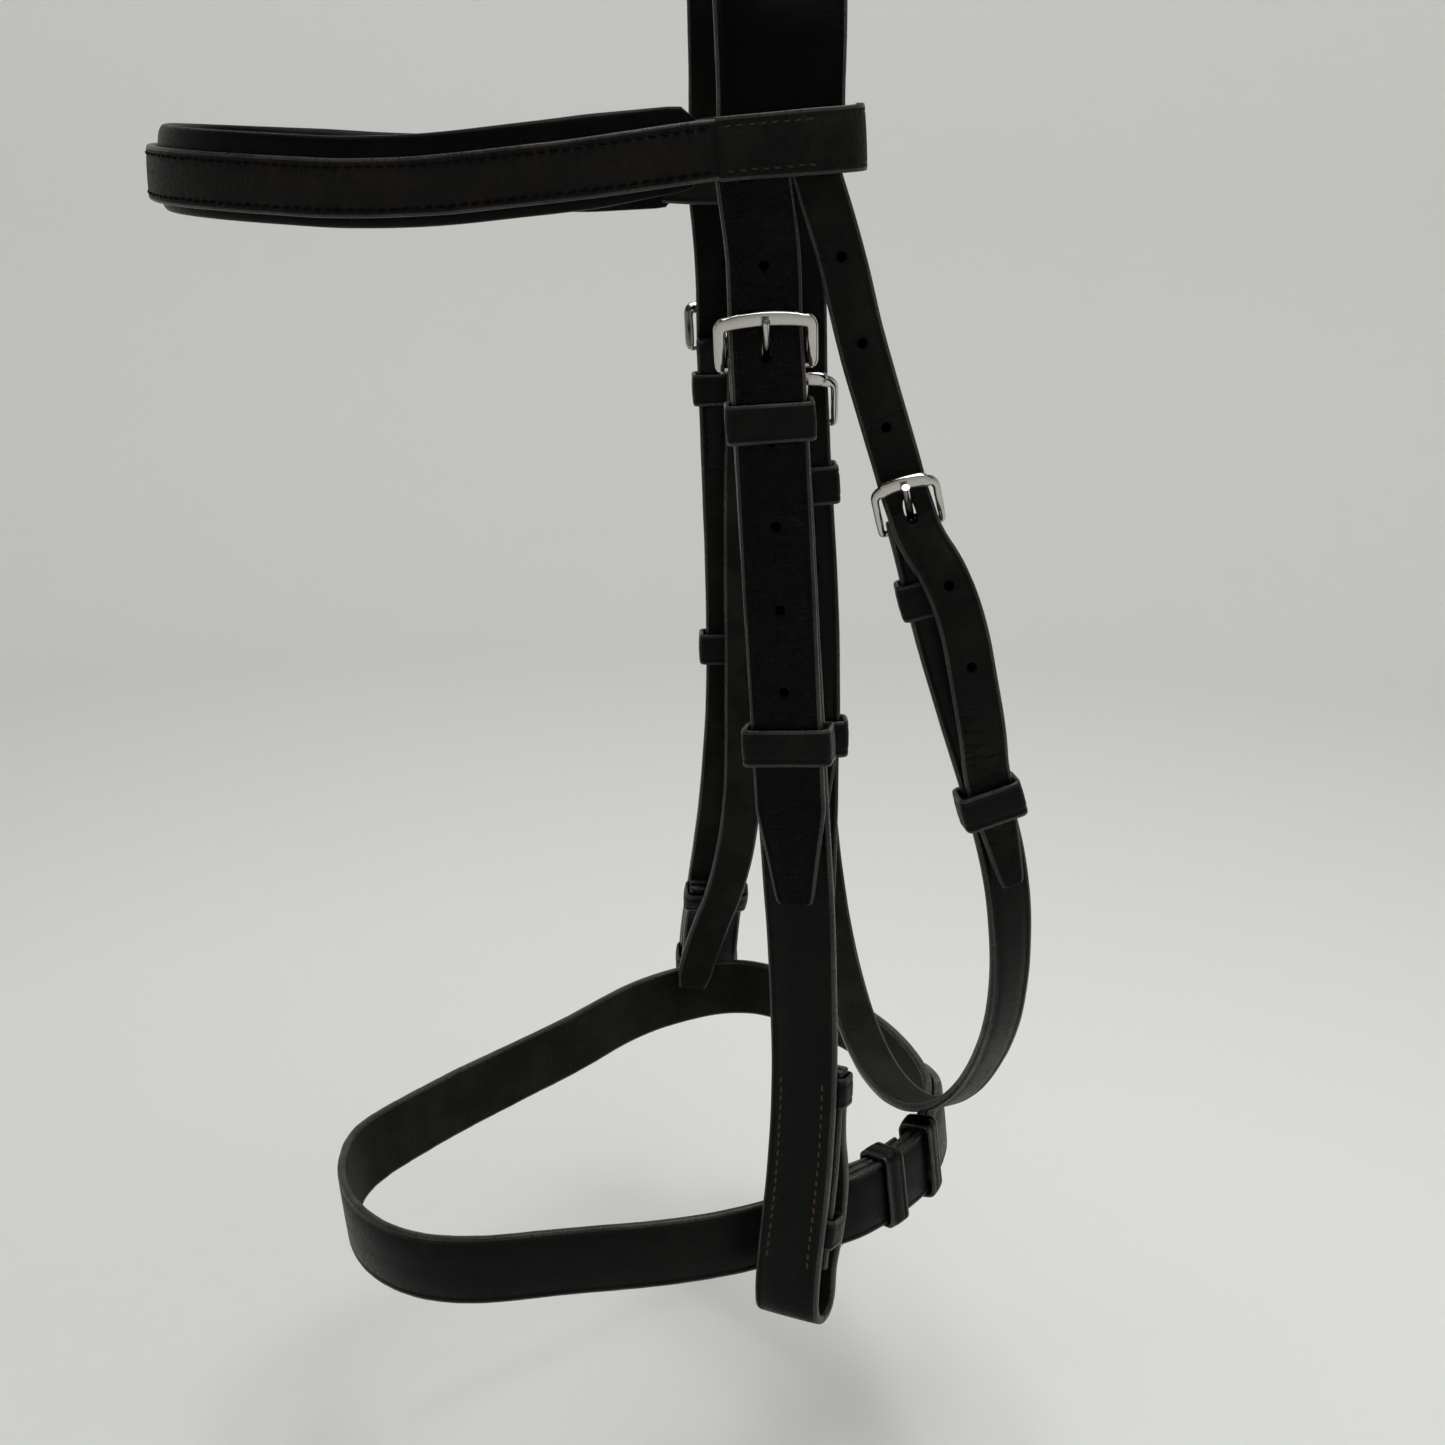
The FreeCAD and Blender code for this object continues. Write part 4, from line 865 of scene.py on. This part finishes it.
thing = skin("cavesson_cheek_strap_leather", cheek, "bridle", slots=[bar_slot(bar_run)], groove=0.2)
stand_for(thing, "black_leather", "cavesson_cheek_strap")
metal_frame("cavesson_buckle", NEAR_CAVESSON, CAVESSON_BAR, LIGHT)
band("cavesson_keeper", NEAR_CAVESSON, CAVESSON_BAR + 15, LIGHT, TURN_BACK - SKIVED / 2,
     OVER + PLY / 2, 0.4)
band("cavesson_runner", NEAR_CAVESSON, CAVESSON_BAR + 82, LIGHT, -PLY / 2, OVER + PLY / 2, 0.8,
     body="cavesson_runner")

# ---------------------------------------------------------------- noseband
lap = CHIN_BAR - NOSE_ROUND
tip = NOSE.stations[23 * PARTS] + 6
sewn = list(reversed(buckled_end(CHIN_BAR, 27, heading=-1)))
route = (run(tip, NOSE_ROUND, OVER)[:-1]
         + joined(run(0, lap - 1, OVER), run(lap - 1, lap + 12, OVER, DIP, 4.0),
                  run(lap + 12, lap + 20, DIP, DIP, 4.0), run(lap + 20, lap + 42, DIP, 0.0),
                  run(lap + 42, CHIN_BAR - 4, 0.0), sewn))


def nose_width(done, whole):
    """Wider at the front; it is asked for widths only after nose is made."""
    k = int(np.clip(np.searchsorted(nose.s, done), 0, len(nose.s) - 1))
    front = math.exp(-np.linalg.norm(nose.c[k] - NOSE_FRONT) / 75)
    return (NOSE_WIDTH + NOSE_SWELL * front) * (0.5 + 0.5 * min(1.0, done / 24))


def nose_depth(done, whole):
    return thinned(whole - done - 33)


nose = Ribbon.over(NOSE, route, nose_width, nose_depth)
holes = []
first = len(run(tip, NOSE_ROUND, OVER))
for k in range(3):
    place, _, _, out = NOSE.at(NOSE_ROUND - 10 - 19 * k)
    target = place + out * OVER
    near = np.linalg.norm(nose.c[:first] - target, axis=1)
    holes.append((float(nose.s[int(np.argmin(near))]), 1.3, 1.35))
buckled = np.linalg.norm(nose.c[:40] - NOSE.at(lap + 5.6)[0], axis=1)
holes.append((float(nose.s[int(np.argmin(buckled))]), 1.5, 2.9))
thing = skin("noseband_leather", nose, "bridle", holes=sorted(holes), groove=0.2,
             slots=[bar_slot(nose.length - 33.5, 2.0, 6.0)])
stand_for(thing, "black_leather", "noseband_strap")
metal_frame("chin_buckle", NOSE, CHIN_BAR, NOSE_WIDTH, True)
band("chin_keeper", NOSE, CHIN_BAR - 16, NOSE_WIDTH, TURN_BACK - SKIVED / 2, OVER + PLY / 2, 0.4,
     tall=7.5, swap=True)
band("chin_runner", NOSE, CHIN_BAR - 35, NOSE_WIDTH, -PLY / 2, OVER + PLY / 2, 0.8, tall=7.5,
     swap=True, body="chin_runner")

# ---------------------------------------------------------------- browband
inner = -10.9
near_end = joined([(BROW_NEAR + 34, -2.4), (BROW_NEAR + 29, -2.5), (BROW_NEAR + 24, -4.2),
                   (BROW_NEAR + 19.5, -7.8), (BROW_NEAR + 16.5, -10.2), (BROW_NEAR + 12, inner)],
                  run(BROW_NEAR + 6, BROW_NEAR - 13, inner, inner, 7.0),
                  fold(BROW_NEAR - 13.6, inner / 2, -inner / 2, 270, 90))
far_end = [(BROW_NEAR + BROW_FAR - s, v) for s, v in reversed(near_end)]
route = joined(near_end, run(BROW_NEAR - 10, BROW_FAR + 10, 0.0), far_end)


def brow_depth(done, total):
    return thinned(min(done, total - done) - 50, 12, PLY - 0.2)


brow = Ribbon.over(BROW, route, BROW_WIDTH, brow_depth)
thing = skin("browband_strip", brow, "browband", BROW_LEATHER, groove=0.3, dome=0.16, ripple=0.1)
stand_for(thing, "browband_leather", "browband_strap")
main_end = -len(far_end)
start = brow.run_at(BROW_NEAR + 17, len(near_end), main_end)
stop = brow.run_at(BROW_FAR - 17, len(near_end), main_end)
stitches("browband_thread", brow, [(x, start, stop) for x in (5.15, -5.15)], "browband",
                 BLACK_THREAD, 3.0, 2.3, 0.4)

# A worn wrap of thin leather is sewn over each loop, from its seam round to the back.
wrap = joined(run(BROW_NEAR + 15.5, BROW_NEAR - 10, 1.5, 1.5, 5.0),
              fold(BROW_NEAR - 13.6, inner / 2, 1.5 - inner / 2, 90, 215))
far_wrap = [(BROW_NEAR + BROW_FAR - s, v) for s, v in wrap]
for side, route in (("near", wrap), ("far", far_wrap)):
    cover = Ribbon.over(BROW, route, lambda done, whole: 15.2 + 0.7 * min(1.0, done / 24), 0.8)
    thing = skin("browband_" + side + "_wrap", cover, "browband", LOOP_LEATHER, groove=0.12, dome=0.1,
                 ripple=0.16)
    stitches("browband_" + side + "_wrap_thread", cover, [(x, 1.5, 24) for x in (5.3, -5.3)],
                     "browband", WORN_THREAD, 2.6, 1.8, 0.3)

# The padding is a flat roll: round along its top and bottom edges and thinner behind the strip.
verts, faces = [], []
count, around = 120, 28
first, last = BROW_NEAR + 20, BROW_FAR - 20
for k in range(count + 1):
    f = k / count
    place, _, across_way, out = BROW.at(first + (last - first) * f)
    from_end = min(f, 1 - f) * (last - first)
    full = min(1.0, 0.3 + 0.7 * (from_end / 26)) if from_end < 26 else 1.0
    close = max(0.0, 1 - from_end / 22)
    end_round = math.sqrt(max(0.0, 1 - max(0.0, 1 - from_end / 5) ** 2)) * 0.35 + 0.65
    deep, tall = PAD_DEPTH * full, PAD_HEIGHT * (0.82 + 0.18 * full) * end_round
    centre = place + out * (-PLY / 2 - 0.3 - deep / 2 - 1.2 * close) + across_way * 1.2
    for q in range(around):
        angle = math.tau * q / around
        ca, sa = math.cos(angle), math.sin(angle)
        u = math.copysign(abs(ca) ** 0.72, ca) * tall / 2
        waist = 1 - 0.16 * math.exp(-(u / (tall * 0.22)) ** 2)
        v = math.copysign(abs(sa) ** 0.6, sa) * deep / 2 * waist
        verts.append((centre + across_way * u + out * v) * 0.001)
for k in range(count):
    for q in range(around):
        r = (q + 1) % around
        faces.append((k * around + q, k * around + r, (k + 1) * around + r, (k + 1) * around + q))
faces.append(tuple(reversed(range(around))))
faces.append(tuple(count * around + q for q in range(around)))
pad = made("browband_pad", verts, faces, [0] * len(faces), [PADDING], "browband")
stand_for(pad, "padding", "browband_padding")

# ---------------------------------------------------------------- metal that CAD made
for name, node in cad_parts.items():
    if name.endswith(("_tongue", "_hook_stud")):
        node.data.materials.clear()
        node.data.materials.append(METAL)
        bevel = node.modifiers.new("edges", "BEVEL")
        bevel.width = 0.00025
        bevel.segments = 2
        bevel.limit_method = "ANGLE"
        for polygon in node.data.polygons:
            polygon.use_smooth = True
        node.modifiers.new("shading", "WEIGHTED_NORMAL")

# ---------------------------------------------------------------- backdrop and light
def bowl(centre, floor, radius, bend, rim):
    """A round white studio: floor, a soft bend, and a wall outside every camera."""
    curve = [(radius * k / 8, floor) for k in range(1, 7)] + [(radius - bend, floor)]
    for k in range(1, 17):
        angle = math.pi / 2 * k / 16
        curve.append((radius - bend + bend * math.sin(angle),
                      floor + bend - bend * math.cos(angle)))
    curve += [(radius, floor + bend + (rim - floor - bend) * k / 4) for k in range(1, 5)]
    around = 96
    verts = [(centre[0], centre[1], floor)]
    for r, z in curve:
        for q in range(around):
            angle = math.tau * q / around
            verts.append((centre[0] + r * math.cos(angle), centre[1] + r * math.sin(angle), z))
    faces = [(0, 1 + q, 1 + (q + 1) % around) for q in range(around)]
    for k in range(len(curve) - 1):
        for q in range(around):
            r = (q + 1) % around
            low, high = 1 + k * around, 1 + (k + 1) * around
            faces.append((low + q, high + q, high + r, low + r))
    mesh = bpy.data.meshes.new("backdrop")
    mesh.from_pydata(verts, [], faces)
    mesh.polygons.foreach_set("use_smooth", [True] * len(faces))
    mesh.materials.append(plain("paper", (0.80, 0.805, 0.78), 0.7, 0.0, 0.02, 3))
    thing = bpy.data.objects.new("backdrop", mesh)
    bpy.context.collection.objects.link(thing)


def area(name, place, target, wide, tall, power):
    light = bpy.data.lights.new(name, "AREA")
    light.shape = "RECTANGLE"
    light.size, light.size_y = wide, tall
    light.energy = power
    thing = bpy.data.objects.new(name, light)
    way = Vector(target) - Vector(place)
    thing.location = place
    thing.rotation_euler = way.to_track_quat("-Z", "Y").to_euler()
    bpy.context.collection.objects.link(thing)


bowl(centre=(-0.03, -0.05), floor=-0.475, radius=1.3, bend=0.30, rim=1.1)
area("softbox", (0.06, 0.10, 0.72), (0.01, 0.07, -0.4), 0.7, 1.0, 11.2)
area("wall_wash", (-0.75, -0.02, 0.95), (-1.33, -0.05, 0.6), 0.3, 1.4, 2.4)
world = bpy.data.worlds.new("room")
bpy.context.scene.world = world
world.use_nodes = True
background = world.node_tree.nodes["Background"]
background.inputs["Color"].default_value = (0.95, 0.97, 1.0, 1)
background.inputs["Strength"].default_value = 0.03
bpy.context.scene.view_settings.view_transform = "Standard"
